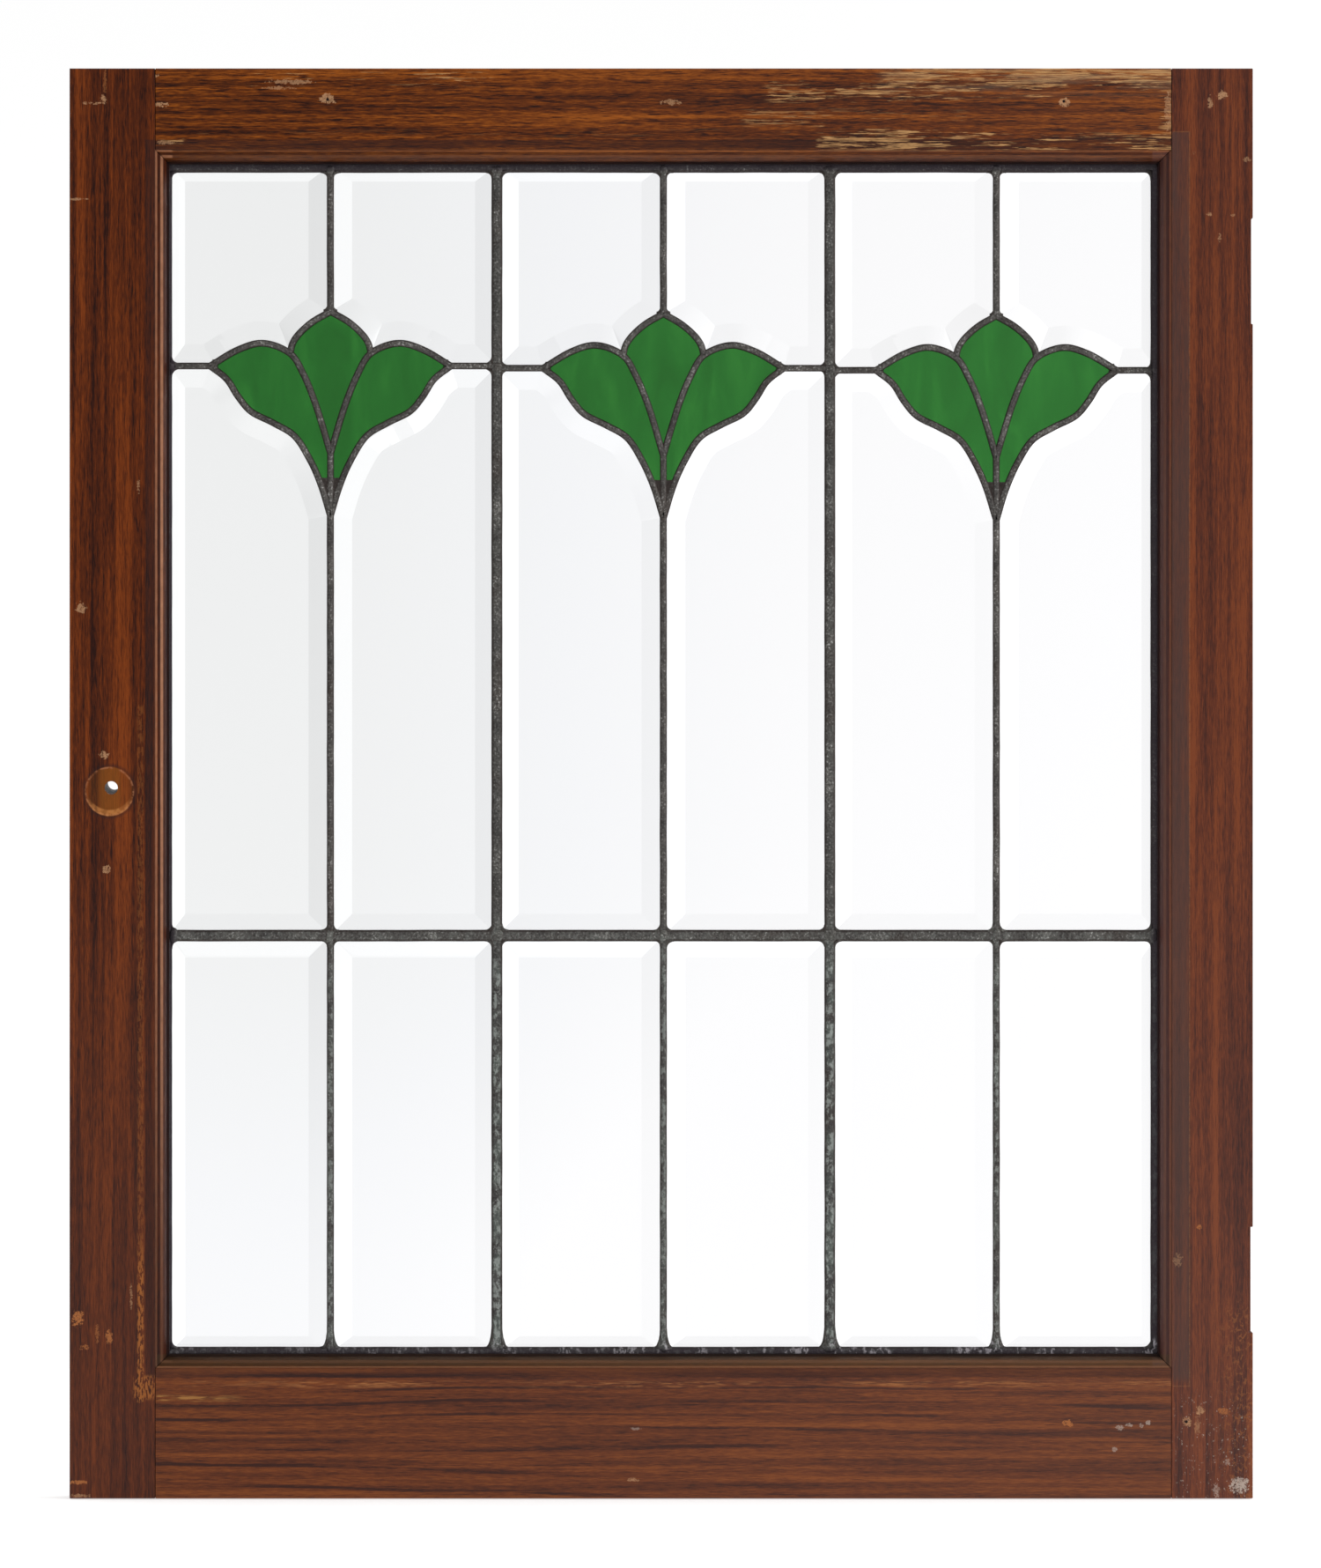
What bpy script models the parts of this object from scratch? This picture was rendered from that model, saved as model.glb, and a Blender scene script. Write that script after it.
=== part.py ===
"""A small hinged window sash that holds a leaded glass panel with three lily flowers.

The sash stands in the XZ plane. Its front face looks towards -Y and +X is to the viewer's right.
Sash coordinates run from the middle of the bottom edge, with y = 0 on the front face. The empty
"window_frame" then moves everything so that the origin lies on the floor of the upper hinge gain.
All lengths are in metres.
"""
import math

import bmesh
import bpy
from mathutils import Vector
from mathutils.geometry import tessellate_polygon

# Sash
SASH_WIDTH = 0.711
SASH_HEIGHT = 0.859
SASH_THICKNESS = 0.035
LOCK_STILE_FACE = 0.0513
HINGE_STILE_FACE = 0.0488
TOP_RAIL_FACE = 0.0488
BOTTOM_RAIL_FACE = 0.0782

# Moulded inner edge, and the rebate behind it
STICKING_WIDTH = 0.0082
QUIRK = 0.001
INNER_FILLET = 0.0012
OVOLO_BOTTOM = 0.009
TONGUE_THICKNESS = 0.012
REBATE_WIDTH = 0.0065
OVOLO_STEPS = 5

# Joints of the sash
TENON_THICKNESS = 0.010
TENON_LENGTH = 0.032
TENON_SHOULDER = 0.012
TENON_FROM_FACE = 0.0135

# Hinge gains and knob bore
GAIN_LENGTH = 0.0635
GAIN_REACH = 0.027
UPPER_GAIN_DEPTH = 0.001
LOWER_GAIN_DEPTH = 0.00275
UPPER_GAIN_FROM_TOP = 0.090
LOWER_GAIN_FROM_BOTTOM = 0.0996
BORE_DIAMETER = 0.008
BORE_FROM_EDGE = 0.025
BORE_HEIGHT = 0.4268
BORE_SIDES = 24

# Gaps
GAP = 0.0003
MITRE_GAP = 0.00045
PLAY_LEFT = 0.0011
PLAY_RIGHT = 0.0010
PLAY_TOP = 0.002
PLAY_BOTTOM = 0.0021

# Lead cames
CAME_DEPTH = 0.007
FLANGE = 0.0009
HEART = 0.0016
BORDER_CAME = 0.0095
HEAVY_CAME = 0.0066
THIN_CAME = 0.0043
CROSS_CAME = 0.007
CURVED_CAME = 0.00405
TIP_BAR = 0.0036
GLASS_CLEARANCE = 0.0003

# Places in the panel
CROSS_ABOVE_BORDER = 0.25115
TIPS_BELOW_BORDER = 0.12225
TIP_DROP_PER_FLOWER = 0.0013
TIP_BAR_LENGTH = 0.0277
OUTER_BAYS_NARROWER_BY = 0.0027
FLOWERS = 3

# Glass
LIGHT_THICKNESS = 0.00635
LIGHT_EDGE = 0.0032
BEVEL_WIDTH = 0.012
BORDER_BEVEL_WIDTH = 0.009
PETAL_THICKNESS = 0.0032

# Glazing beads
BEAD_DEPTH = 0.0127

# Half a flower, in shares of its petals' reach: x from the flower's axis, z from its tips' level.
# Side petal, upper edge: from the tip over the crest to the junction, then down to the axis.
PETAL_UPPER_SHARES = ((1.0, 0.0), (0.765, 0.137), (0.554, 0.190), (0.335, 0.106),
                      (0.226, -0.066), (0.146, -0.255), (0.077, -0.462), (0.0, -0.725))
JUNCTION_POINT = 3
# Side petal, lower edge: from the tip down to the stem.
PETAL_LOWER_SHARES = ((1.0, 0.0), (0.861, -0.109), (0.766, -0.255), (0.657, -0.380),
                      (0.474, -0.474), (0.299, -0.580), (0.175, -0.770), (0.080, -0.985),
                      (0.002, -1.240))
CALYX_POINT = 7
# Centre petal: from its apex down to the junction.
CENTRE_PETAL_SHARES = ((0.0, 0.453), (0.146, 0.369), (0.255, 0.274), (0.314, 0.190),
                       (0.335, 0.106))
CURVE_STEPS = 2

# Tolerances of the outline arithmetic
SAME_POINT = 1e-7
PARALLEL = 1e-5
STANDSTILL = 1e-12

# Sizes that follow from those above
HALF_WIDTH = SASH_WIDTH / 2
LEFT_FACE_EDGE = -HALF_WIDTH + LOCK_STILE_FACE
RIGHT_FACE_EDGE = HALF_WIDTH - HINGE_STILE_FACE
TOP_FACE_EDGE = SASH_HEIGHT - TOP_RAIL_FACE
BOTTOM_FACE_EDGE = BOTTOM_RAIL_FACE
REBATE_WALL = STICKING_WIDTH - REBATE_WIDTH

PANEL_LEFT = LEFT_FACE_EDGE + REBATE_WALL + PLAY_LEFT
PANEL_RIGHT = RIGHT_FACE_EDGE - REBATE_WALL - PLAY_RIGHT
PANEL_TOP = TOP_FACE_EDGE - REBATE_WALL - PLAY_TOP
PANEL_BOTTOM = BOTTOM_FACE_EDGE + REBATE_WALL + PLAY_BOTTOM
PANEL_FRONT = TONGUE_THICKNESS + GAP
PANEL_BACK = PANEL_FRONT + CAME_DEPTH
GLASS_BACK = PANEL_BACK - FLANGE - GLASS_CLEARANCE

BORDER_LEFT = PANEL_LEFT + BORDER_CAME / 2
BORDER_RIGHT = PANEL_RIGHT - BORDER_CAME / 2
BORDER_TOP = PANEL_TOP - BORDER_CAME / 2
BORDER_BOTTOM = PANEL_BOTTOM + BORDER_CAME / 2
BAYS = 2 * FLOWERS
BAY = (BORDER_RIGHT - BORDER_LEFT + 2 * OUTER_BAYS_NARROWER_BY) / BAYS
PETAL_REACH = BAY - TIP_BAR_LENGTH
CROSS_HEIGHT = BORDER_BOTTOM + CROSS_ABOVE_BORDER
TIP_HEIGHT = BORDER_TOP - TIPS_BELOW_BORDER
GLASS_INSET = HEART / 2 + GLASS_CLEARANCE

UPPER_GAIN_CENTRE = SASH_HEIGHT - UPPER_GAIN_FROM_TOP - GAIN_LENGTH / 2
LOWER_GAIN_CENTRE = LOWER_GAIN_FROM_BOTTOM + GAIN_LENGTH / 2
TENON_BACK = TENON_FROM_FACE + TENON_THICKNESS
ORIGIN_IN_SASH = Vector((HALF_WIDTH - UPPER_GAIN_DEPTH, GAIN_REACH / 2, UPPER_GAIN_CENTRE))


def clear_scene():
    for thing in list(bpy.data.objects):
        bpy.data.objects.remove(thing, do_unlink=True)


# Materials

def material(name, colour, roughness, metallic=0.0, transmission=0.0):
    made = bpy.data.materials.new(name)
    made.use_nodes = True
    shader = made.node_tree.nodes["Principled BSDF"]
    shader.inputs["Base Color"].default_value = (*colour, 1.0)
    shader.inputs["Roughness"].default_value = roughness
    shader.inputs["Metallic"].default_value = metallic
    shader.inputs["Transmission Weight"].default_value = transmission
    return made


# Plane geometry: outlines are lists of (x, z) points

def smooth_through(points, steps):
    """A smooth curve through the points, with this many steps from each to the next."""
    before = 2 * Vector(points[0]) - Vector(points[1])
    after = 2 * Vector(points[-1]) - Vector(points[-2])
    knots = [before, *(Vector(point) for point in points), after]
    curve = []
    for a, b, c, d in zip(knots, knots[1:], knots[2:], knots[3:]):
        for step in range(steps):
            t = step / steps
            bend = (2 * a - 5 * b + 4 * c - d) * t + (3 * b - a - 3 * c + d) * t * t
            curve.append(b + (c - a + bend) * t / 2)
    curve.append(Vector(points[-1]))
    return curve


def corner_velocity(edge_before, edge_after):
    """How a corner moves while the edges that meet there each move to their left."""
    if edge_before is None:
        return edge_after[1] * edge_after[2]
    if edge_after is None:
        return edge_before[1] * edge_before[2]
    _, normal_b, speed_b = edge_before
    _, normal_a, speed_a = edge_after
    turn = normal_b.x * normal_a.y - normal_b.y * normal_a.x
    if abs(turn) < PARALLEL:
        return normal_a * speed_a
    return Vector(((speed_b * normal_a.y - speed_a * normal_b.y) / turn,
                   (normal_b.x * speed_a - normal_a.x * speed_b) / turn))


def shift_edges(points, distances, closed=True):
    """Moves every edge of an outline to its left by its own distance.

    One point comes back for each that went in. An edge that the move uses up shrinks to a point,
    and its two ends then travel on together.
    """
    count = len(points)
    place = [Vector(point) for point in points]
    edges = []
    for i in range(count if closed else count - 1):
        along = (place[(i + 1) % count] - place[i]).normalized()
        edges.append((along, Vector((-along.y, along.x)), distances[i]))
    edge_before = {i: edges[i - 1] if closed or i > 0 else None for i in range(count)}
    edge_after = {i: edges[i] if i < len(edges) else None for i in range(count)}
    live = list(range(count))
    joined_to = list(range(count))
    time_left = 1.0
    while True:
        velocity = {i: corner_velocity(edge_before[i], edge_after[i]) for i in live}
        pairs = list(zip(live, live[1:] + live[:1])) if closed else list(zip(live, live[1:]))
        soonest, used_up = time_left, None
        for start, end in pairs:
            along = edge_after[start][0]
            closing = (velocity[start] - velocity[end]).dot(along)
            length = (place[end] - place[start]).dot(along)
            if closing > STANDSTILL and length / closing < soonest:
                soonest, used_up = max(length / closing, 0.0), (start, end)
        for i in live:
            place[i] = place[i] + velocity[i] * soonest
        time_left -= soonest
        if used_up is None or len(live) <= 3:
            break
        start, end = used_up
        joined_to[end] = start
        edge_after[start] = edge_after[end]
        live.remove(end)
    for i in range(count):
        leader = i
        while joined_to[leader] != leader:
            leader = joined_to[leader]
        place[i] = place[leader].copy()
    return place


def inset(loop, distance):
    """Shrinks a counter-clockwise outline by one distance all round."""
    return shift_edges(loop, [distance] * len(loop))


def mirrored(loop):
    """The outline's mirror image across x = 0, still running the same way round."""
    return [Vector((-point[0], point[1])) for point in reversed(loop)]


def moved(loop, x, z):
    return [Vector((point[0] + x, point[1] + z)) for point in loop]


def rectangle(left, right, bottom, top):
    return [Vector((left, bottom)), Vector((right, bottom)), Vector((right, top)), Vector((left, top))]


# Solids

def ring_of_vertices(mesh, loop, depth):
    """One vertex for each point, shared where points of the outline lie together."""
    ring = []
    for point in loop:
        if ring and (ring[-1].co - Vector((point[0], depth, point[1]))).length < SAME_POINT:
            ring.append(ring[-1])
        else:
            ring.append(mesh.verts.new((point[0], depth, point[1])))
    if len(ring) > 1 and (ring[-1].co - ring[0].co).length < SAME_POINT and ring[-1] is not ring[0]:
        extra = ring[-1]
        ring = [ring[0] if vertex is extra else vertex for vertex in ring]
        mesh.verts.remove(extra)
    return ring


def without_repeats(ring):
    return [vertex for i, vertex in enumerate(ring) if vertex is not ring[i - 1]]


def join_rings(mesh, near, far):
    for i in range(len(near)):
        j = (i + 1) % len(near)
        corners = without_repeats([near[i], far[i], far[j], near[j]])
        if len(set(corners)) >= 3:
            mesh.faces.new(corners)


def cap(mesh, rings):
    rings = [without_repeats(ring) for ring in rings]
    corners = [vertex for ring in rings for vertex in ring]
    for triangle in tessellate_polygon([[vertex.co for vertex in ring] for ring in rings]):
        mesh.faces.new([corners[i] for i in triangle])


def new_object(name, mesh, look):
    bmesh.ops.recalc_face_normals(mesh, faces=mesh.faces)
    data = bpy.data.meshes.new(name)
    mesh.to_mesh(data)
    mesh.free()
    data.materials.append(look)
    made = bpy.data.objects.new(name, data)
    bpy.context.collection.objects.link(made)
    made.parent = bpy.data.objects["window_frame"]
    return made


def layered_solid(name, look, outer, windows=()):
    """A solid from outlines at rising depths: outer and each window are lists of (depth, loop)."""
    mesh = bmesh.new()
    stacks = []
    for layers in (outer, *windows):
        rings = [ring_of_vertices(mesh, loop, depth) for depth, loop in layers]
        for near, far in zip(rings, rings[1:]):
            join_rings(mesh, near, far)
        stacks.append(rings)
    cap(mesh, [rings[0] for rings in stacks])
    cap(mesh, [rings[-1] for rings in stacks])
    return new_object(name, mesh, look)


def block(name, look, low, high):
    """A box between two corners in sash coordinates."""
    outline = rectangle(low[0], high[0], low[2], high[2])
    return layered_solid(name, look, [(low[1], outline), (high[1], outline)])


def combine(target, operand, operation):
    """Adds a Boolean of the hidden operand to the target."""
    operand.hide_render = True
    operand.display_type = "WIRE"
    step = target.modifiers.new(operand.name, "BOOLEAN")
    step.object = operand
    step.operation = operation
    step.solver = "EXACT"


# Sash

def sticking_profile():
    """Section of the moulded edge: (width from the face's edge, depth from the front)."""
    flat = STICKING_WIDTH - INNER_FILLET
    points = [(0.0, QUIRK)]
    for step in range(OVOLO_STEPS + 1):
        angle = math.radians(90) * step / OVOLO_STEPS
        across = QUIRK + (flat - QUIRK) * math.sin(angle)
        points.append((across, OVOLO_BOTTOM - (OVOLO_BOTTOM - QUIRK) * math.cos(angle)))
    points.append((STICKING_WIDTH, OVOLO_BOTTOM))
    points.append((STICKING_WIDTH, TONGUE_THICKNESS))
    points.append((REBATE_WALL, TONGUE_THICKNESS))
    points.append((REBATE_WALL, SASH_THICKNESS))
    points.append((0.0, SASH_THICKNESS))
    return points


def sticking(name, look, corner_a, corner_b, inward, end_gap):
    """A mitred strip of the moulded edge between two inner corners of the face.

    inward is the unit direction from the face's edge to the glass.
    """
    along = (corner_b - corner_a).normalized()
    mesh = bmesh.new()
    rings = []
    for corner, way in ((corner_a, along), (corner_b, -along)):
        ring = []
        for across, depth in sticking_profile():
            spot = corner + inward * across + way * (across + end_gap)
            ring.append(mesh.verts.new((spot.x, depth, spot.y)))
        rings.append(ring)
    join_rings(mesh, *rings)
    for ring in rings:
        mesh.faces.new(ring)
    return new_object(name, mesh, look)


def stile(name, look, outer_x, face_edge, inward):
    """A full-height upright with its moulded edge and its blind mortises."""
    low_x, high_x = sorted((outer_x, face_edge))
    made = block(name, look, (low_x, 0.0, 0.0), (high_x, SASH_THICKNESS, SASH_HEIGHT))
    foot = Vector((face_edge, BOTTOM_FACE_EDGE))
    head = Vector((face_edge, TOP_FACE_EDGE))
    strip = sticking(name + "_edge", look, foot, head, Vector((inward, 0.0)), 0.0)
    combine(made, strip, "UNION")
    for rail, bottom, top in (("bottom", 0.0, BOTTOM_FACE_EDGE), ("top", TOP_FACE_EDGE, SASH_HEIGHT)):
        reach = sorted((face_edge + inward * GAP, face_edge - inward * (TENON_LENGTH + 2 * GAP)))
        mortise = block(
            f"{name}_{rail}_mortise", look,
            (reach[0], TENON_FROM_FACE - GAP, bottom + TENON_SHOULDER - GAP),
            (reach[1], TENON_BACK + GAP, top - TENON_SHOULDER + GAP))
        combine(made, mortise, "DIFFERENCE")
    return made


def rail(name, look, bottom, top, face_edge, inward):
    """A rail between the stiles, with its moulded edge and a tenon at each end."""
    left, right = LEFT_FACE_EDGE + GAP, RIGHT_FACE_EDGE - GAP
    made = block(name, look, (left, 0.0, bottom), (right, SASH_THICKNESS, top))
    strip = sticking(name + "_edge", look, Vector((LEFT_FACE_EDGE, face_edge)),
                     Vector((RIGHT_FACE_EDGE, face_edge)), Vector((0.0, inward)), MITRE_GAP)
    combine(made, strip, "UNION")
    for side, root, tip in (("left", left, LEFT_FACE_EDGE - TENON_LENGTH),
                            ("right", right, RIGHT_FACE_EDGE + TENON_LENGTH)):
        low_x, high_x = sorted((root, tip))
        tenon = block(f"{name}_{side}_tenon", look,
                      (low_x, TENON_FROM_FACE, bottom + TENON_SHOULDER),
                      (high_x, TENON_BACK, top - TENON_SHOULDER))
        combine(made, tenon, "UNION")
    return made


def cut_knob_bore(lock_stile, look):
    centre_x = -HALF_WIDTH + BORE_FROM_EDGE
    circle = []
    for i in range(BORE_SIDES):
        angle = 2 * math.pi * (i + 0.5) / BORE_SIDES
        circle.append(Vector((centre_x + BORE_DIAMETER / 2 * math.cos(angle),
                              BORE_HEIGHT + BORE_DIAMETER / 2 * math.sin(angle))))
    layers = [(-GAP, circle), (SASH_THICKNESS + GAP, circle)]
    combine(lock_stile, layered_solid("knob_bore", look, layers), "DIFFERENCE")


def cut_hinge_gain(hinge_stile, look, name, centre, depth):
    cutter = block(name, look,
                   (HALF_WIDTH - depth, -GAP, centre - GAIN_LENGTH / 2),
                   (HALF_WIDTH + GAP, GAIN_REACH, centre + GAIN_LENGTH / 2))
    combine(hinge_stile, cutter, "DIFFERENCE")


def build_sash(look):
    lock_stile = stile("lock_stile", look, -HALF_WIDTH, LEFT_FACE_EDGE, 1.0)
    hinge_stile = stile("hinge_stile", look, HALF_WIDTH, RIGHT_FACE_EDGE, -1.0)
    rail("top_rail", look, TOP_FACE_EDGE, SASH_HEIGHT, TOP_FACE_EDGE, -1.0)
    rail("bottom_rail", look, 0.0, BOTTOM_FACE_EDGE, BOTTOM_FACE_EDGE, 1.0)
    cut_knob_bore(lock_stile, look)
    cut_hinge_gain(hinge_stile, look, "upper_gain", UPPER_GAIN_CENTRE, UPPER_GAIN_DEPTH)
    cut_hinge_gain(hinge_stile, look, "lower_gain", LOWER_GAIN_CENTRE, LOWER_GAIN_DEPTH)


def build_beads(look):
    """Square beads that hold the panel against the tongue, mitred at the corners."""
    left, right = LEFT_FACE_EDGE + REBATE_WALL + GAP, RIGHT_FACE_EDGE - REBATE_WALL - GAP
    bottom, top = BOTTOM_FACE_EDGE + REBATE_WALL + GAP, TOP_FACE_EDGE - REBATE_WALL - GAP
    width = REBATE_WIDTH - GAP
    near, far = PANEL_BACK + GAP, PANEL_BACK + GAP + BEAD_DEPTH
    outer = rectangle(left, right, bottom, top)
    inner = inset(outer, width)
    for i, name in enumerate(("bottom", "right", "top", "left")):
        j = (i + 1) % len(outer)
        along = (outer[j] - outer[i]).normalized() * MITRE_GAP
        outline = [outer[i] + along, outer[j] - along, inner[j] - along, inner[i] + along]
        layered_solid(name + "_bead", look, [(near, outline), (far, outline)])


# Leaded panel

def came(name, look, face, heart, windows=()):
    """An H-shaped came: face is the flanges' outline and heart the web's, and windows are pairs."""
    def layers(wide, narrow):
        return [(PANEL_FRONT, wide), (PANEL_FRONT + FLANGE, wide), (PANEL_FRONT + FLANGE, narrow),
                (PANEL_BACK - FLANGE, narrow), (PANEL_BACK - FLANGE, wide), (PANEL_BACK, wide)]
    return layered_solid(name, look, layers(face, heart), [layers(*pair) for pair in windows])


def upright_came(name, look, x, bottom, top, width):
    came(name, look, rectangle(x - width / 2, x + width / 2, bottom, top),
         rectangle(x - HEART / 2, x + HEART / 2, bottom, top))


def level_came(name, look, left, right, z, width):
    came(name, look, rectangle(left, right, z - width / 2, z + width / 2),
         rectangle(left, right, z - HEART / 2, z + HEART / 2))


def bay_line(number):
    """Where the upright number 0 to 6 stands: 0 and 6 are the border cames."""
    if number in (0, BAYS):
        return BORDER_LEFT if number == 0 else BORDER_RIGHT
    return BORDER_LEFT - OUTER_BAYS_NARROWER_BY + number * BAY


def half_width_of_line(number):
    return BORDER_CAME / 2 if number in (0, BAYS) else HEAVY_CAME / 2


def flower_curves():
    """The three centrelines of a half flower, in metres from its axis and its tips' level."""
    return [[point * PETAL_REACH for point in smooth_through(shape, CURVE_STEPS)]
            for shape in (PETAL_UPPER_SHARES, PETAL_LOWER_SHARES, CENTRE_PETAL_SHARES)]


def petal_loops():
    """Centreline outlines of the right side petal and the centre petal."""
    upper, lower, crown = flower_curves()
    calyx = CALYX_POINT * CURVE_STEPS
    side = upper + [Vector((0.0, lower[calyx].y))] + list(reversed(lower[1:calyx + 1]))
    right = list(reversed(upper[JUNCTION_POINT * CURVE_STEPS:])) + list(reversed(crown))[1:]
    centre = right + [Vector((-point.x, point.y)) for point in reversed(right[1:-1])]
    return side, centre


def top_light_loop(bay_width, tip_height):
    """Centreline outline of the clear light right of the axis, above a flower."""
    upper, _, crown = flower_curves()
    flower = crown + list(reversed(upper[:JUNCTION_POINT * CURVE_STEPS]))
    loop = [Vector((0.0, BORDER_TOP))] + moved(flower, 0.0, tip_height)
    return loop + [Vector((bay_width, tip_height)), Vector((bay_width, BORDER_TOP))]


def middle_light_loop(bay_width, tip_height):
    """Centreline outline of the clear light right of the axis, below a flower."""
    _, lower, _ = flower_curves()
    loop = [Vector((bay_width, tip_height))] + moved(lower[:-1], 0.0, tip_height)
    foot = tip_height + lower[-1].y
    return loop + [Vector((0.0, foot)), Vector((0.0, CROSS_HEIGHT)), Vector((bay_width, CROSS_HEIGHT))]


def bottom_light_loop(bay_width):
    return rectangle(0.0, bay_width, BORDER_BOTTOM, CROSS_HEIGHT)


def clear_light(name, look, loop, at_border):
    """A plate light, bevelled on its front, from the centrelines of the cames around it."""
    glass = inset(loop, GLASS_INSET)
    widths = []
    for i, start in enumerate(loop):
        end = loop[(i + 1) % len(loop)]
        widths.append(BORDER_BEVEL_WIDTH if at_border(start, end) else BEVEL_WIDTH)
    flat = shift_edges(glass, widths)
    layered_solid(name, look, [(GLASS_BACK - LIGHT_THICKNESS, flat), (GLASS_BACK - LIGHT_EDGE, glass),
                               (GLASS_BACK, glass)])


def build_clear_lights(look):
    def on_line(value, line):
        return abs(value - line) < GAP

    def at_border(start, end):
        for line in (BORDER_BOTTOM, BORDER_TOP):
            if on_line(start.y, line) and on_line(end.y, line):
                return True
        for line in (BORDER_LEFT, BORDER_RIGHT):
            if on_line(start.x, line) and on_line(end.x, line):
                return True
        return False

    for number in range(BAYS):
        flower = number // 2
        axis = bay_line(2 * flower + 1)
        tip_height = flower_tip_height(flower)
        width = bay_line(number + 1) - bay_line(number)
        shapes = (("top", top_light_loop(width, tip_height)),
                  ("middle", middle_light_loop(width, tip_height)),
                  ("bottom", bottom_light_loop(width)))
        for row, shape in shapes:
            placed = moved(shape if number % 2 else mirrored(shape), axis, 0.0)
            clear_light(f"{row}_light_{number + 1}", look, placed, at_border)


def flower_tip_height(flower):
    return TIP_HEIGHT + TIP_DROP_PER_FLOWER * ((FLOWERS - 1) / 2 - flower)


def flower_outline(left_end, right_end, half_curved, half_bar):
    """The flower's outer outline, this far outside its centrelines, with its two tip bars."""
    upper, lower, crown = flower_curves()
    right_top = [Vector((right_end, 0.0))] + upper[:JUNCTION_POINT * CURVE_STEPS + 1]
    right_top += list(reversed(crown[:-1]))
    left_top = mirrored(right_top[1:-1]) + [Vector((left_end, 0.0))]
    above = right_top + left_top
    left_below = [Vector((left_end, 0.0))] + [Vector((-point.x, point.y)) for point in lower]
    right_below = list(reversed(lower)) + [Vector((right_end, 0.0))]
    outline = []
    for chain, bars in ((above, (0, len(above) - 2)), (left_below, (0,)),
                        (right_below, (len(right_below) - 2,))):
        distances = [-half_bar if i in bars else -half_curved for i in range(len(chain) - 1)]
        outline += shift_edges(chain, distances, closed=False)
    return outline


def build_flower(flower, lead, green):
    number = 2 * flower + 1
    axis, tip_height = bay_line(number), flower_tip_height(flower)
    left_end = bay_line(number - 1) + half_width_of_line(number - 1) + GAP - axis
    right_end = bay_line(number + 1) - half_width_of_line(number + 1) - GAP - axis
    face = flower_outline(left_end, right_end, CURVED_CAME / 2, TIP_BAR / 2)
    heart = flower_outline(left_end, right_end, HEART / 2, HEART / 2)
    side, centre = petal_loops()
    petals = (("left", mirrored(side)), ("centre", centre), ("right", side))
    windows = []
    for name, loop in petals:
        windows.append((moved(inset(loop, CURVED_CAME / 2), axis, tip_height),
                        moved(inset(loop, HEART / 2), axis, tip_height)))
        glass = moved(inset(loop, GLASS_INSET), axis, tip_height)
        layered_solid(f"flower_{flower + 1}_{name}_petal", green,
                      [(GLASS_BACK - PETAL_THICKNESS, glass), (GLASS_BACK, glass)])
    came(f"flower_{flower + 1}_cames", lead, moved(face, axis, tip_height),
         moved(heart, axis, tip_height), windows)
    top = max(point.y for point in face) + tip_height
    foot = min(point.y for point in face) + tip_height
    upright_came(f"top_upright_{flower + 1}", lead, axis, top + GAP,
                 BORDER_TOP - BORDER_CAME / 2 - GAP, THIN_CAME)
    upright_came(f"stem_{flower + 1}", lead, axis, CROSS_HEIGHT + CROSS_CAME / 2 + GAP,
                 foot - GAP, THIN_CAME)
    upright_came(f"bottom_upright_{flower + 1}", lead, axis, BORDER_BOTTOM + BORDER_CAME / 2 + GAP,
                 CROSS_HEIGHT - CROSS_CAME / 2 - GAP, THIN_CAME)


def build_straight_cames(look):
    upright_came("border_left", look, BORDER_LEFT, PANEL_BOTTOM, PANEL_TOP, BORDER_CAME)
    upright_came("border_right", look, BORDER_RIGHT, PANEL_BOTTOM, PANEL_TOP, BORDER_CAME)
    inner_left, inner_right = PANEL_LEFT + BORDER_CAME + GAP, PANEL_RIGHT - BORDER_CAME - GAP
    level_came("border_top", look, inner_left, inner_right, BORDER_TOP, BORDER_CAME)
    level_came("border_bottom", look, inner_left, inner_right, BORDER_BOTTOM, BORDER_CAME)
    for number in range(2, BAYS, 2):
        upright_came(f"heavy_upright_{number // 2}", look, bay_line(number),
                     BORDER_BOTTOM + BORDER_CAME / 2 + GAP, BORDER_TOP - BORDER_CAME / 2 - GAP,
                     HEAVY_CAME)
    for flower in range(FLOWERS):
        start, end = 2 * flower, 2 * flower + 2
        level_came(f"cross_{flower + 1}", look, bay_line(start) + half_width_of_line(start) + GAP,
                   bay_line(end) - half_width_of_line(end) - GAP, CROSS_HEIGHT, CROSS_CAME)


def build_window():
    clear_scene()
    frame = bpy.data.objects.new("window_frame", None)
    bpy.context.collection.objects.link(frame)
    frame.location = -ORIGIN_IN_SASH
    wood = material("stained_wood", (0.13, 0.030, 0.012), 0.35)
    bead_wood = material("bead_wood", (0.16, 0.045, 0.018), 0.5)
    lead = material("lead", (0.10, 0.085, 0.075), 0.55, metallic=0.4)
    clear = material("clear_glass", (0.95, 0.97, 0.97), 0.02, transmission=1.0)
    green = material("green_glass", (0.02, 0.16, 0.03), 0.08, transmission=0.8)
    build_sash(wood)
    build_beads(bead_wood)
    build_straight_cames(lead)
    for flower in range(FLOWERS):
        build_flower(flower, lead, green)
    build_clear_lights(clear)


build_window()
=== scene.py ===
"""Finish of a leaded glass window: a stained wood sash, lead cames, bevelled lights and lily petals."""
import math
import random

import bmesh
import bpy
from mathutils import Matrix, Vector
from mathutils.geometry import tessellate_polygon


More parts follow.
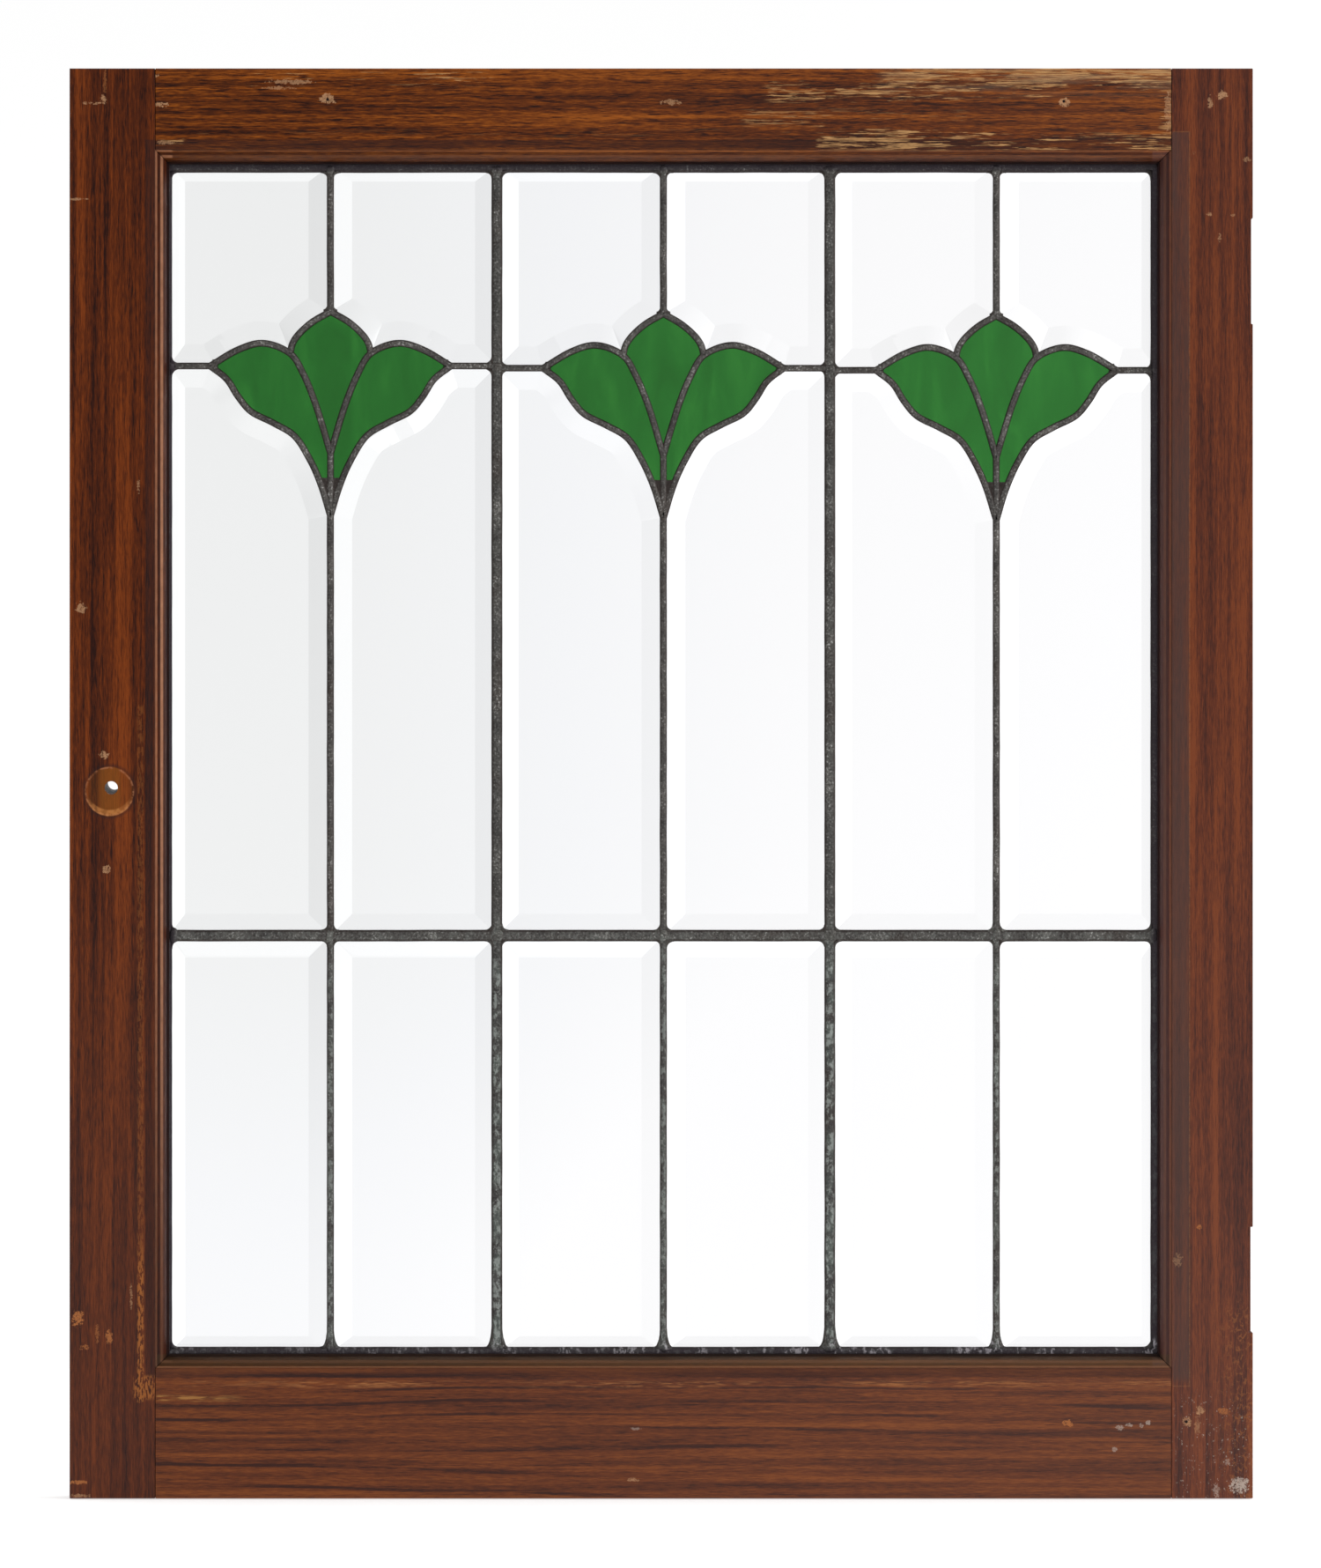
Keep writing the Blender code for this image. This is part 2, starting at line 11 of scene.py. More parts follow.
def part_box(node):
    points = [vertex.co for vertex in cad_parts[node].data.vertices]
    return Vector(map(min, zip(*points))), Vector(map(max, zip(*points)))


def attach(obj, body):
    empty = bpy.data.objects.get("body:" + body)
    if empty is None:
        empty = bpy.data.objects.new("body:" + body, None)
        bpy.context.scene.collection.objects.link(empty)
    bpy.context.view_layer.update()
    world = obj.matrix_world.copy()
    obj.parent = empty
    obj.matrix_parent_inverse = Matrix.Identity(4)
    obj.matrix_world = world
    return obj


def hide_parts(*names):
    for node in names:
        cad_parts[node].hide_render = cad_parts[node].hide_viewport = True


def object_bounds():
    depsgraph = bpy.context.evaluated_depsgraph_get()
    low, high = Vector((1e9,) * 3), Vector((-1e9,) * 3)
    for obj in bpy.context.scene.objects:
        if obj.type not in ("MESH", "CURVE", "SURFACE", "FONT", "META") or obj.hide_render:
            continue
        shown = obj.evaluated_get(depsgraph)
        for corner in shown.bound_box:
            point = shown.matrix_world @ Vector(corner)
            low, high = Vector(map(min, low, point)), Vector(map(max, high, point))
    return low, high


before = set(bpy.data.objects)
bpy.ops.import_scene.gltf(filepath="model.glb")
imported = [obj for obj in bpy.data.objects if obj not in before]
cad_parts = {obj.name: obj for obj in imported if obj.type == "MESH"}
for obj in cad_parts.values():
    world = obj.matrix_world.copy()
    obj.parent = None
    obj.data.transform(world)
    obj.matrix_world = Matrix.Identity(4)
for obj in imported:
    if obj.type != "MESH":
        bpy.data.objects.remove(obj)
CAD_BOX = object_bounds()

# The sash, from the frame. Sash coordinates run from its lower left corner, on the front face.
SASH_LOW, SASH_HIGH = CAD_BOX
FRONT = SASH_LOW.y
SASH_WIDTH = SASH_HIGH.x - SASH_LOW.x
SASH_HEIGHT = SASH_HIGH.z - SASH_LOW.z
PHOTO_PIXEL = 0.00052917
PHOTO_SASH_LEFT = 79
PHOTO_SASH_BOTTOM = 1701
PHOTO_CENTRE = (750, 890)
PHOTO_HEIGHT = 1780

# Lead and glass sections, as in the solids
CURVED_CAME = 0.00405
TIP_BAR = 0.0036
HEART = 0.0016
GLASS_CLEARANCE = 0.0003
GLASS_INSET = HEART / 2 + GLASS_CLEARANCE
LIGHT_THICKNESS = 0.00635
LIGHT_EDGE = 0.0032
BEVEL_WIDTH = 0.012
BORDER_BEVEL_WIDTH = 0.009
FLANGE_THICKNESS = 0.0019
PETAL_REACH = 0.0725

# Half a flower, in shares of its petals' reach, as in the solids
PETAL_UPPER_SHARES = ((1.0, 0.0), (0.765, 0.137), (0.554, 0.190), (0.335, 0.106),
                      (0.226, -0.066), (0.146, -0.255), (0.077, -0.462), (0.0, -0.725))
PETAL_LOWER_SHARES = ((1.0, 0.0), (0.861, -0.109), (0.766, -0.255), (0.657, -0.380),
                      (0.474, -0.474), (0.299, -0.580), (0.175, -0.770), (0.080, -0.985),
                      (0.002, -1.240))
CENTRE_PETAL_SHARES = ((0.0, 0.453), (0.146, 0.369), (0.255, 0.274), (0.314, 0.190),
                       (0.335, 0.106))
JUNCTION_POINT = 3
CALYX_POINT = 7
CURVE_STEPS = 8
FLOWERS = (1, 2, 3)

# Tolerances of the outline arithmetic
SAME_POINT = 1e-6
PARALLEL = 1e-5
STANDSTILL = 1e-12


def middle(node):
    low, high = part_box(node)
    return (low + high) / 2


def on_photo(x, y):
    """Distance from the sash's left edge and height above its bottom, of a pixel in the photograph."""
    return (x - PHOTO_SASH_LEFT) * PHOTO_PIXEL, (PHOTO_SASH_BOTTOM - y) * PHOTO_PIXEL


# Node trees: values that can be written in expressions

class Value:
    """A node's output, with arithmetic that adds Math nodes."""

    def __init__(self, sheet, socket):
        self.sheet = sheet
        self.socket = socket

    def __add__(self, other):
        return self.sheet.maths("ADD", self, other)

    def __radd__(self, other):
        return self.sheet.maths("ADD", other, self)

    def __sub__(self, other):
        return self.sheet.maths("SUBTRACT", self, other)

    def __rsub__(self, other):
        return self.sheet.maths("SUBTRACT", other, self)

    def __mul__(self, other):
        return self.sheet.maths("MULTIPLY", self, other)

    def __rmul__(self, other):
        return self.sheet.maths("MULTIPLY", other, self)

    def __truediv__(self, other):
        return self.sheet.maths("DIVIDE", self, other)

    def __abs__(self):
        return self.sheet.maths("ABSOLUTE", self)

    def ramp(self, low, high, bottom=0.0, top=1.0):
        """Goes smoothly from bottom to top as the value goes from low to high."""
        return self.sheet.node("ShaderNodeMapRange", {"interpolation_type": "SMOOTHSTEP"},
                               {"Value": self, "From Min": low, "From Max": high,
                                "To Min": bottom, "To Max": top})


class Sheet:
    """A node tree that is written as expressions, for a finish or for a shape."""

    def __init__(self, tree):
        self.tree = tree
        tree.nodes.clear()

    def node(self, kind, settings=None, inputs=None, output=0):
        """Adds a node: its settings first, then the values or links of its sockets."""
        made = self.tree.nodes.new(kind)
        for name, value in (settings or {}).items():
            if name == "stops":
                self.set_stops(made.color_ramp, value)
            else:
                setattr(made, name, value)
        for name, value in (inputs or {}).items():
            if isinstance(value, Value):
                self.tree.links.new(value.socket, made.inputs[name])
            else:
                made.inputs[name].default_value = value
        return Value(self, made.outputs[output]) if made.outputs else None

    @staticmethod
    def set_stops(ramp, stops):
        while len(ramp.elements) < len(stops):
            ramp.elements.new(1.0)
        for element, (position, colour) in zip(ramp.elements, stops):
            element.position = position
            element.color = colour

    def maths(self, operation, a, b=0.0):
        return self.node("ShaderNodeMath", {"operation": operation}, {0: a, 1: b})

    def largest(self, a, b):
        return self.maths("MAXIMUM", a, b)

    def vectors(self, operation, a, b):
        return self.node("ShaderNodeVectorMath", {"operation": operation}, {0: a, 1: b})


class Finish(Sheet):
    """A material whose shader reads the place on the object."""

    def __init__(self, name):
        self.material = bpy.data.materials.new(name)
        self.material.use_nodes = True
        super().__init__(self.material.node_tree)
        self.place = self.node("ShaderNodeTexCoord", output="Object")
        parts = self.node("ShaderNodeSeparateXYZ", inputs={0: self.place}).socket.node.outputs
        self.x, self.y, self.z = (Value(self, part) for part in parts)
        self.across = self.x - SASH_LOW.x
        self.height = self.z - SASH_LOW.z

    def outside_opening(self):
        """Distance outwards from the rectangle where the flat faces end and the moulded edge begins."""
        beside_x = self.largest(FACE_LEFT - self.across, self.across - FACE_RIGHT)
        beside_z = self.largest(FACE_BOTTOM - self.height, self.height - FACE_TOP)
        return self.largest(beside_x, beside_z)

    def stretched(self, x, y, z, shift=0.0):
        """The place, scaled by itself along each axis, for grain and streaks."""
        return self.vectors("ADD", self.vectors("MULTIPLY", self.place, (x, y, z)), (shift,) * 3)

    def clouds(self, where, scale, detail=3.0, roughness=0.5, distortion=0.0):
        return self.node("ShaderNodeTexNoise", inputs={
            "Vector": where, "Scale": scale, "Detail": detail, "Roughness": roughness,
            "Distortion": distortion})

    def colours(self, factor, stops):
        return self.node("ShaderNodeValToRGB", {"stops": stops}, {"Fac": factor})

    def mix(self, factor, a, b, blend="MIX"):
        """Goes from colour a to colour b with the factor: a colour mix has sockets 0, 6, 7 and 2."""
        settings = {"data_type": "RGBA", "blend_type": blend, "clamp_factor": True}
        return self.node("ShaderNodeMix", settings, {0: factor, 6: a, 7: b}, output=2)

    def spot(self, pixel, radius, soft=0.4):
        """1 inside a round spot at a pixel of the photograph, with a soft rim."""
        centre_x, centre_z = on_photo(*pixel)
        dx, dz = self.across - centre_x, self.height - centre_z
        distance = self.maths("SQRT", dx * dx + dz * dz)
        return distance.ramp(radius * (1 + soft), radius * (1 - soft))

    def patch(self, left, top, right, bottom, soft):
        """1 inside a rectangle given in pixels of the photograph, with soft edges of this many metres."""
        x0, z1 = on_photo(left, top)
        x1, z0 = on_photo(right, bottom)
        inside_x = self.across.ramp(x0 - soft, x0 + soft) * self.across.ramp(x1 + soft, x1 - soft)
        return inside_x * self.height.ramp(z0 - soft, z0 + soft) * self.height.ramp(z1 + soft, z1 - soft)

    def bump(self, height, strength, distance):
        return self.node("ShaderNodeBump", inputs={
            "Height": height, "Strength": strength, "Distance": distance})

    def surface(self, **inputs):
        names = {name.replace("_", " "): value for name, value in inputs.items()}
        shader = self.node("ShaderNodeBsdfPrincipled", inputs=names)
        self.node("ShaderNodeOutputMaterial", inputs={"Surface": shader})
        return self.material


def srgb(red, green, blue):
    """An opaque colour given in the photograph's 0 to 255 values, as light values."""
    def linear(value):
        value = value / 255
        return value / 12.92 if value <= 0.04045 else ((value + 0.055) / 1.055) ** 2.4
    return linear(red), linear(green), linear(blue), 1.0


# Finishes: where the flat faces end, widths of dirt in metres, and the colours that recur

FACE_LEFT = 0.0513
FACE_RIGHT = SASH_WIDTH - 0.0488
FACE_BOTTOM = 0.0782
FACE_TOP = SASH_HEIGHT - 0.0488
STICKING_WIDTH = 0.0082
DIRT_BAND = 0.0058
DIRT_BAND_WIDER_AT_RIGHT = 0.0048
PALE_WOOD = srgb(176, 134, 98)
ORANGE_WOOD = srgb(168, 104, 58)
DUST = srgb(178, 164, 152)
VEIL = srgb(112, 92, 88)
# Dark brown for dirt, also used for painted shade in the moulding
GRIME_AND_SHADE = srgb(42, 26, 24)
# Pale tone of the painted highlights along the moulding's outer edge and crest
PAINTED_HIGHLIGHT = srgb(196, 138, 104)
# The ring that the knob's rose left: its centre in pixels of the photograph and its radii in metres
ROSE_CENTRE = (124.3, 898.5)
ROSE_RADIUS = 0.0148
ROSE_INNER_RADIUS = 0.0139
ROSE_SHADE_RADIUS = 0.0165
CRESCENT_CENTRE = (124.3, 893.0)
CRESCENT_RADIUS = 0.0140
# Dirt, wear, painted shade and highlights end this deep behind the front face, and nail holes are this
# wide
WEAR_DEPTH = 0.0130
WEAR_FADE = 0.0020
NAIL_RADIUS = 0.0009


class Wood(Finish):
    """Stained hardwood with its grain along one axis, x or z."""

    def __init__(self, name, grain_axis, seed):
        super().__init__(name)
        self.grain_axis = grain_axis
        self.seed = seed
        self.beside = self.outside_opening()
        self.ragged = self.clouds(self.place, 170.0, 3.0, 0.6) - 0.5
        self.crumbs = self.clouds(self.place, 620.0, 3.0, 0.7) - 0.5
        self.broken = self.clouds(self.place, 1150.0, 2.0, 0.6).ramp(0.36, 0.52, 0.35, 1.0)

    def grain(self, across, along, detail=3.0, roughness=0.55, distortion=0.0):
        """Noise that is drawn out along the grain, scaled so and so much per metre."""
        if self.grain_axis == "z":
            where = self.stretched(across, across, along, self.seed)
        else:
            where = self.stretched(along, across, across, self.seed)
        return self.clouds(where, 1.0, detail, roughness, distortion)

    def chip(self, colour, pixel, size, tone=PALE_WOOD, strength=0.85):
        """A ragged chip or rubbed spot: its centre and size are in pixels of the photograph."""
        centre_x, centre_z = on_photo(*pixel)
        dx = (self.across - centre_x) / (size[0] * PHOTO_PIXEL / 2)
        dz = (self.height - centre_z) / (size[1] * PHOTO_PIXEL / 2)
        inside = (dx * dx + dz * dz + self.ragged * 3.0 + self.crumbs * 6.0).ramp(1.0, 0.6)
        return self.mix(inside * self.broken * strength, colour, tone)


def stained(wood, deep, middle_tone, light, spacing, line_strength, fleck_strength, contrast):
    """Brown stain over grain lines, fibres and pores. Spacing is the distance between dark lines."""
    side = wood.x if wood.grain_axis == "z" else wood.z
    drift = wood.grain(10.0, 0.9, 3.0)
    streak = wood.grain(80.0, 3.0, 3.0)
    fibre = wood.grain(380.0, 12.0, 5.0, 0.68, 0.4)
    fleck = wood.grain(1300.0, 75.0, 2.0, 0.5)
    fine = wood.grain(1900.0, 170.0, 2.0, 0.6)
    bend = wood.grain(16.0, 2.6, 2.0)
    wave = wood.maths("SINE", side * (2 * math.pi / spacing) + drift * 24.0 + bend * 9.0 + fibre * 1.6)
    fading = wood.grain(95.0, 5.0, 2.0).ramp(0.42, 0.56, 0.15, 1.0)
    lines = wave.ramp(0.6, 1.0) * fibre.ramp(0.34, 0.6) * fading
    dashes = fleck.ramp(0.56, 0.68)
    broad = wood.grain(210.0, 1.7, 2.0)
    tone = (streak * 0.65 + fibre * 0.9 + fine * 0.85 + broad * 0.9 - 1.65) * contrast
    tone = tone + drift * 0.35 + 0.325
    tone = tone - lines * line_strength - dashes * fleck_strength
    colour = wood.colours(tone, [(0.16, deep), (0.46, middle_tone), (0.78, light)])
    return colour, tone, lines + dashes


def veiled(wood, colour):
    """A greyish veil over the stain, stronger low down and to the right."""
    low = wood.height.ramp(0.55, 0.02) * 0.09
    right = wood.across.ramp(0.05, 0.68) * 0.08
    return wood.mix(low + right, colour, VEIL)


def dirt_and_painted_light(wood, colour):
    """Dirt beside the moulded edge, dirt and painted shade in its hollows, and painted highlights along
    its outer edge and crest.
    """
    at_right = wood.across.ramp(FACE_RIGHT - 0.001, FACE_RIGHT + 0.001)
    reach = DIRT_BAND + at_right * DIRT_BAND_WIDER_AT_RIGHT
    outwards = wood.beside - reach
    band = (outwards + wood.ragged * 0.002).ramp(0.0004, -0.0004) * wood.beside.ramp(-0.0008, 0.0)
    soot = wood.mix(at_right, GRIME_AND_SHADE, srgb(70, 54, 50))
    uneven = wood.grain(90.0, 9.0, 3.0).ramp(0.3, 0.6, 0.6, 1.0)
    band = band * uneven * wood.height.ramp(0.0665, 0.0745)
    colour = wood.mix(band * (0.6 + at_right * 0.12), colour, soot)
    thread = outwards.ramp(0.0007, 0.0003) * outwards.ramp(-0.0003, 0.0001) * at_right
    colour = wood.mix(thread * (0.22 + wood.crumbs), colour, srgb(138, 98, 64))
    # The moulding darkens inwards from its outer edge: dirt and painted shade together
    moulding = wood.beside.ramp(-0.0010, -0.0022) * (0.5 + wood.ragged * 0.5)
    colour = wood.mix(moulding, colour, GRIME_AND_SHADE)
    dusty = wood.beside.ramp(-0.0005, -0.0010) * wood.across.ramp(FACE_RIGHT - 0.012, FACE_RIGHT - 0.011)
    colour = wood.mix(dusty * 0.22, colour, srgb(112, 84, 84))
    foot_top = FACE_BOTTOM + STICKING_WIDTH
    at_foot = wood.height.ramp(foot_top + 0.0005, foot_top - 0.0005) * wood.beside.ramp(0.0, -0.0008)
    colour = wood.mix(at_foot * 0.42, colour, srgb(72, 62, 42))
    # Painted highlights: a light line along the moulding's outer edge and another along its crest,
    # stronger on the left-hand moulding, which faces the light from the right, and fading towards its
    # foot
    at_left = wood.across.ramp(0.0625, 0.0608) * wood.height.ramp(0.085, 0.3, 0.15, 1.0)
    edge = wood.beside.ramp(0.0002, -0.0003) * wood.beside.ramp(-0.0016, -0.0011)
    colour = wood.mix(edge * (0.14 + at_left * 0.3) * (1.0 + wood.ragged), colour, PAINTED_HIGHLIGHT)
    crest = wood.beside.ramp(-0.0029, -0.0035) * wood.beside.ramp(-0.0051, -0.0045)
    colour = wood.mix(crest * (0.1 + at_left * 0.42) * (1.0 + wood.ragged), colour, PAINTED_HIGHLIGHT)
    # Painted shade, with dirt, in the crease where the moulding meets the cames
    crease_shade = wood.beside.ramp(-0.0058, -0.0074)
    return wood.mix(crease_shade * 0.8, colour, srgb(20, 12, 14))


def worn_top_rail(wood, colour):
    """Flaked finish on the top rail, mostly at its right-hand end, and specks along its lower part."""
    flakes = wood.grain(760.0, 26.0, 4.0, 0.65)
    splinters = wood.grain(1900.0, 110.0, 2.0, 0.6)
    zones = None
    for left, top, right, bottom, soft, weight in TOP_RAIL_ZONES:
        zone = wood.patch(left, top, right, bottom, soft) * weight
        zones = zone if zones is None else wood.largest(zones, zone)
    islands = wood.grain(120.0, 13.0, 3.0, 0.6) - 0.5
    bare = (flakes * 0.66 + splinters * 0.34 + islands * 0.5 + zones * 0.15).ramp(0.585, 0.625)
    bare = bare * zones.ramp(0.05, 0.3) * wood.beside.ramp(-0.0012, 0.0002)
    slivers = wood.grain(1500.0, 60.0, 3.0, 0.65).ramp(0.4, 0.6, 0.25, 1.0)
    colour = wood.mix(bare * slivers * 0.92, colour, srgb(190, 145, 94))
    smoky = wood.patch(1000, 80, 1345, 104, 0.006) * wood.grain(300.0, 14.0, 3.0).ramp(0.4, 0.6)
    colour = wood.mix(smoky * 0.34, colour, srgb(128, 104, 84))
    return chips(wood, colour, TOP_RAIL_CHIPS)


def chips(wood, colour, places):
    """Lays every chip of one member over its colour."""
    for pixel, size, tone, strength in places:
        colour = wood.chip(colour, pixel, size, tone, strength)
    return colour


def worn_lock_stile(wood, colour):
    """The rubbed strip, the ring that a knob's rose left, and chips."""
    # Darker towards the bottom
    colour = wood.mix(wood.height.ramp(0.46, 0.1) * 0.34, colour, GRIME_AND_SHADE)
    strip = wood.patch(156, 800, 163, 1592, 0.0008) * wood.height.ramp(0.16, 0.13, 0.3, 1.0)
    strip = wood.largest(strip, wood.patch(152, 1562, 176, 1588, 0.0016) * 0.9)
    broken = (wood.grain(900.0, 230.0, 3.0, 0.6) + wood.crumbs * 0.25).ramp(0.46, 0.53)
    colour = wood.mix(strip * broken * 0.66, colour, srgb(164, 100, 48))
    inside = wood.spot(ROSE_CENTRE, ROSE_RADIUS, 0.03)
    core = wood.spot(ROSE_CENTRE, ROSE_INNER_RADIUS, 0.05)
    middle_light = wood.patch(113, 860, 136, 925, 0.002)
    colour = wood.mix(inside * (0.15 + middle_light * 0.4), colour, srgb(132, 76, 22))
    rim = inside * (1.0 - core)
    patchy = wood.clouds(wood.place, 300.0, 3.0, 0.6).ramp(0.42, 0.6)
    low = (wood.height - on_photo(0, 898)[1]).ramp(-0.002, -0.013)
    colour = wood.mix(rim * (patchy * 0.6 + low * 0.2), colour, srgb(170, 112, 78))
    crescent = inside * (1.0 - wood.spot(CRESCENT_CENTRE, CRESCENT_RADIUS, 0.04)) * low
    colour = wood.mix(crescent * (0.3 + patchy * 0.35), colour, srgb(186, 122, 66))
    shade = wood.spot(ROSE_CENTRE, ROSE_SHADE_RADIUS, 0.06) * (1.0 - inside)
    colour = wood.mix(shade * 0.45, colour, GRIME_AND_SHADE)
    return chips(wood, colour, LOCK_STILE_CHIPS)


def worn_bottom_rail(wood, colour):
    """A worn line just below the moulded edge, and yellow rubbing near the left joint."""
    broken = wood.grain(700.0, 60.0, 3.0, 0.6).ramp(0.42, 0.58)
    waning = wood.grain(60.0, 9.0, 3.0, 0.6).ramp(0.36, 0.62, 0.15, 1.0)
    line = wood.patch(195, 1568, 1330, 1575, 0.001) * waning * wood.across.ramp(0.062, 0.09)
    slivers = wood.grain(1800.0, 110.0, 2.0, 0.6).ramp(0.42, 0.56, 0.2, 1.0)
    colour = wood.mix(line * broken * slivers * 0.75, colour, srgb(158, 104, 62))
    rub = wood.patch(178, 1584, 290, 1591, 0.001) * wood.across.ramp(0.108, 0.085)
    colour = wood.mix(rub * broken * 0.55, colour, srgb(176, 128, 70))
    return chips(wood, colour, BOTTOM_RAIL_CHIPS)


def worn_hinge_stile(wood, colour):
    """Crazed varnish and whitish specks at the foot of the stile."""
    crazed = wood.node("ShaderNodeTexVoronoi", {"feature": "DISTANCE_TO_EDGE"},
                       {"Vector": wood.stretched(1.0, 1.0, 0.6), "Scale": 380.0, "Randomness": 1.0})
    region = wood.patch(1390, 1480, 1440, 1720, 0.012)
    uneven = wood.clouds(wood.place, 240.0, 3.0, 0.6).ramp(0.42, 0.6)
    cracks = (crazed + wood.crumbs * 0.6).ramp(0.14, 0.02) * region * uneven
    colour = wood.mix(cracks * 0.45, colour, srgb(146, 90, 52))
    specks = wood.clouds(wood.place, 620.0, 3.0, 0.65).ramp(0.63, 0.7)
    low = wood.patch(1330, 1590, 1430, 1720, 0.01)
    colour = wood.mix(low * specks * 0.5, colour, DUST)
    return chips(wood, colour, HINGE_STILE_CHIPS)


# Flaked zones: left, top, right and bottom in pixels of the photograph, softness in metres, weight
TOP_RAIL_ZONES = (
    (870, 94, 1090, 114, 0.006, 0.56), (1000, 78, 1200, 108, 0.006, 0.6),
    (1150, 78, 1345, 100, 0.006, 0.6), (1320, 90, 1350, 165, 0.006, 0.55),
    (930, 143, 1130, 174, 0.005, 0.62), (1090, 154, 1345, 176, 0.004, 0.64),
    (840, 122, 1100, 146, 0.006, 0.2), (220, 144, 900, 160, 0.003, 0.1),
    (280, 80, 560, 100, 0.006, 0.3), (180, 156, 210, 164, 0.003, 0.3),
)
# Chips and rubbed spots: centre and size in pixels of the photograph, tone and strength
TOP_RAIL_CHIPS = (
    ((372, 113), (17, 12), PALE_WOOD, 0.8), ((1208, 116), (12, 9), PALE_WOOD, 0.8),
    ((182, 119), (19, 6), PALE_WOOD, 0.8), ((176, 86), (9, 5), PALE_WOOD, 0.7),
    ((330, 93), (46, 5), PALE_WOOD, 0.6), ((315, 100), (36, 4), PALE_WOOD, 0.5),
    ((762, 116), (22, 6), PALE_WOOD, 0.6),
    ((1327, 128), (9, 40), PALE_WOOD, 0.5), ((190, 162), (22, 4), PALE_WOOD, 0.5),
)
LOCK_STILE_CHIPS = (
    ((118, 857), (10, 9), PALE_WOOD, 0.75), ((121, 987), (9, 9), PALE_WOOD, 0.7),
    ((92, 690), (11, 13), PALE_WOOD, 0.7), ((117, 112), (8, 9), PALE_WOOD, 0.7),
    ((119, 95), (4, 30), ORANGE_WOOD, 0.35), ((107, 117), (26, 3.5), PALE_WOOD, 0.7),
    ((88, 226), (28, 2.4), PALE_WOOD, 0.6),
    ((157, 552), (4, 14), PALE_WOOD, 0.5), ((88, 1497), (13, 18), ORANGE_WOOD, 0.8),
    ((124, 1519), (7, 15), ORANGE_WOOD, 0.7), ((110, 1514), (5, 20), ORANGE_WOOD, 0.4),
    ((96, 1530), (9, 6), ORANGE_WOOD, 0.6), ((90, 1683), (22, 4), ORANGE_WOOD, 0.7),
    ((90, 1698), (26, 4), PALE_WOOD, 0.5), ((149, 1470), (3, 26), PALE_WOOD, 0.45),
)
BOTTOM_RAIL_CHIPS = (
    ((720, 1680), (12, 4), PALE_WOOD, 0.6), ((1212, 1616), (12, 7), ORANGE_WOOD, 0.7),
    ((1272, 1621), (9, 5), DUST, 0.45), ((1282, 1618), (7, 4), DUST, 0.45),
    ((1296, 1618), (5, 5), DUST, 0.45), ((1304, 1615), (6, 5), DUST, 0.5),
    ((1266, 1645), (7, 5), DUST, 0.4), ((722, 1622), (10, 3), DUST, 0.3),
)
HINGE_STILE_CHIPS = (
    ((1387, 108), (13, 9), PALE_WOOD, 0.8), ((1374, 116), (6, 13), PALE_WOOD, 0.65),
    ((1356, 173), (4, 4), PALE_WOOD, 0.5), ((1416, 181), (12, 5), PALE_WOOD, 0.45),
    ((1373, 243), (6, 4), PALE_WOOD, 0.6), ((1385, 270), (4, 8), PALE_WOOD, 0.5),
    ((1400, 244), (5, 3), PALE_WOOD, 0.4), ((1337, 1431), (10, 14), PALE_WOOD, 0.3),
    ((1362, 1393), (5, 5), ORANGE_WOOD, 0.6), ((1347, 1614), (10, 10), PALE_WOOD, 0.6),
    ((1362, 1601), (9, 10), PALE_WOOD, 0.6), ((1360, 1618), (6, 22), PALE_WOOD, 0.35),
    ((1390, 1602), (14, 7), ORANGE_WOOD, 0.55), ((1408, 1686), (20, 18), DUST, 0.75),
    ((1381, 1693), (8, 16), DUST, 0.45), ((1393, 1660), (9, 9), DUST, 0.35),
)


def finished_wood(name, grain_axis, tones, spacing, lines, flecks, contrast, seed, wear=None, holes=()):
    """The whole finish of one member: stain under a greyish veil, then dirt with painted shade and
    highlights on the moulding, its own wear, and nail holes whose dark is painted shade, in front.
    """
    wood = Wood(name, grain_axis, seed)
    colour, tone, pits = stained(wood, *tones, spacing, lines, flecks, contrast)
    clean = veiled(wood, colour)
    colour = dirt_and_painted_light(wood, clean)
    if wear:
        colour = wear(wood, colour)
    relief = tone * 0.4 - pits * 0.5
    # Each nail hole is a dark spot with a dent in the bump; the dark is painted shade inside the hole
    for pixel in holes:
        hole = wood.spot(pixel, NAIL_RADIUS, 0.3)
        colour = wood.mix(hole, colour, srgb(24, 14, 12))
        relief = relief - hole * 3.0
    at_front = wood.y.ramp(FRONT + WEAR_DEPTH + WEAR_FADE, FRONT + WEAR_DEPTH)
    colour = wood.mix(at_front, clean, colour)
    return wood.surface(Base_Color=colour, Roughness=tone.ramp(0.2, 0.7, 0.55, 0.42),
                        Normal=wood.bump(relief, 0.3, 0.0004), Specular_IOR_Level=0.1)


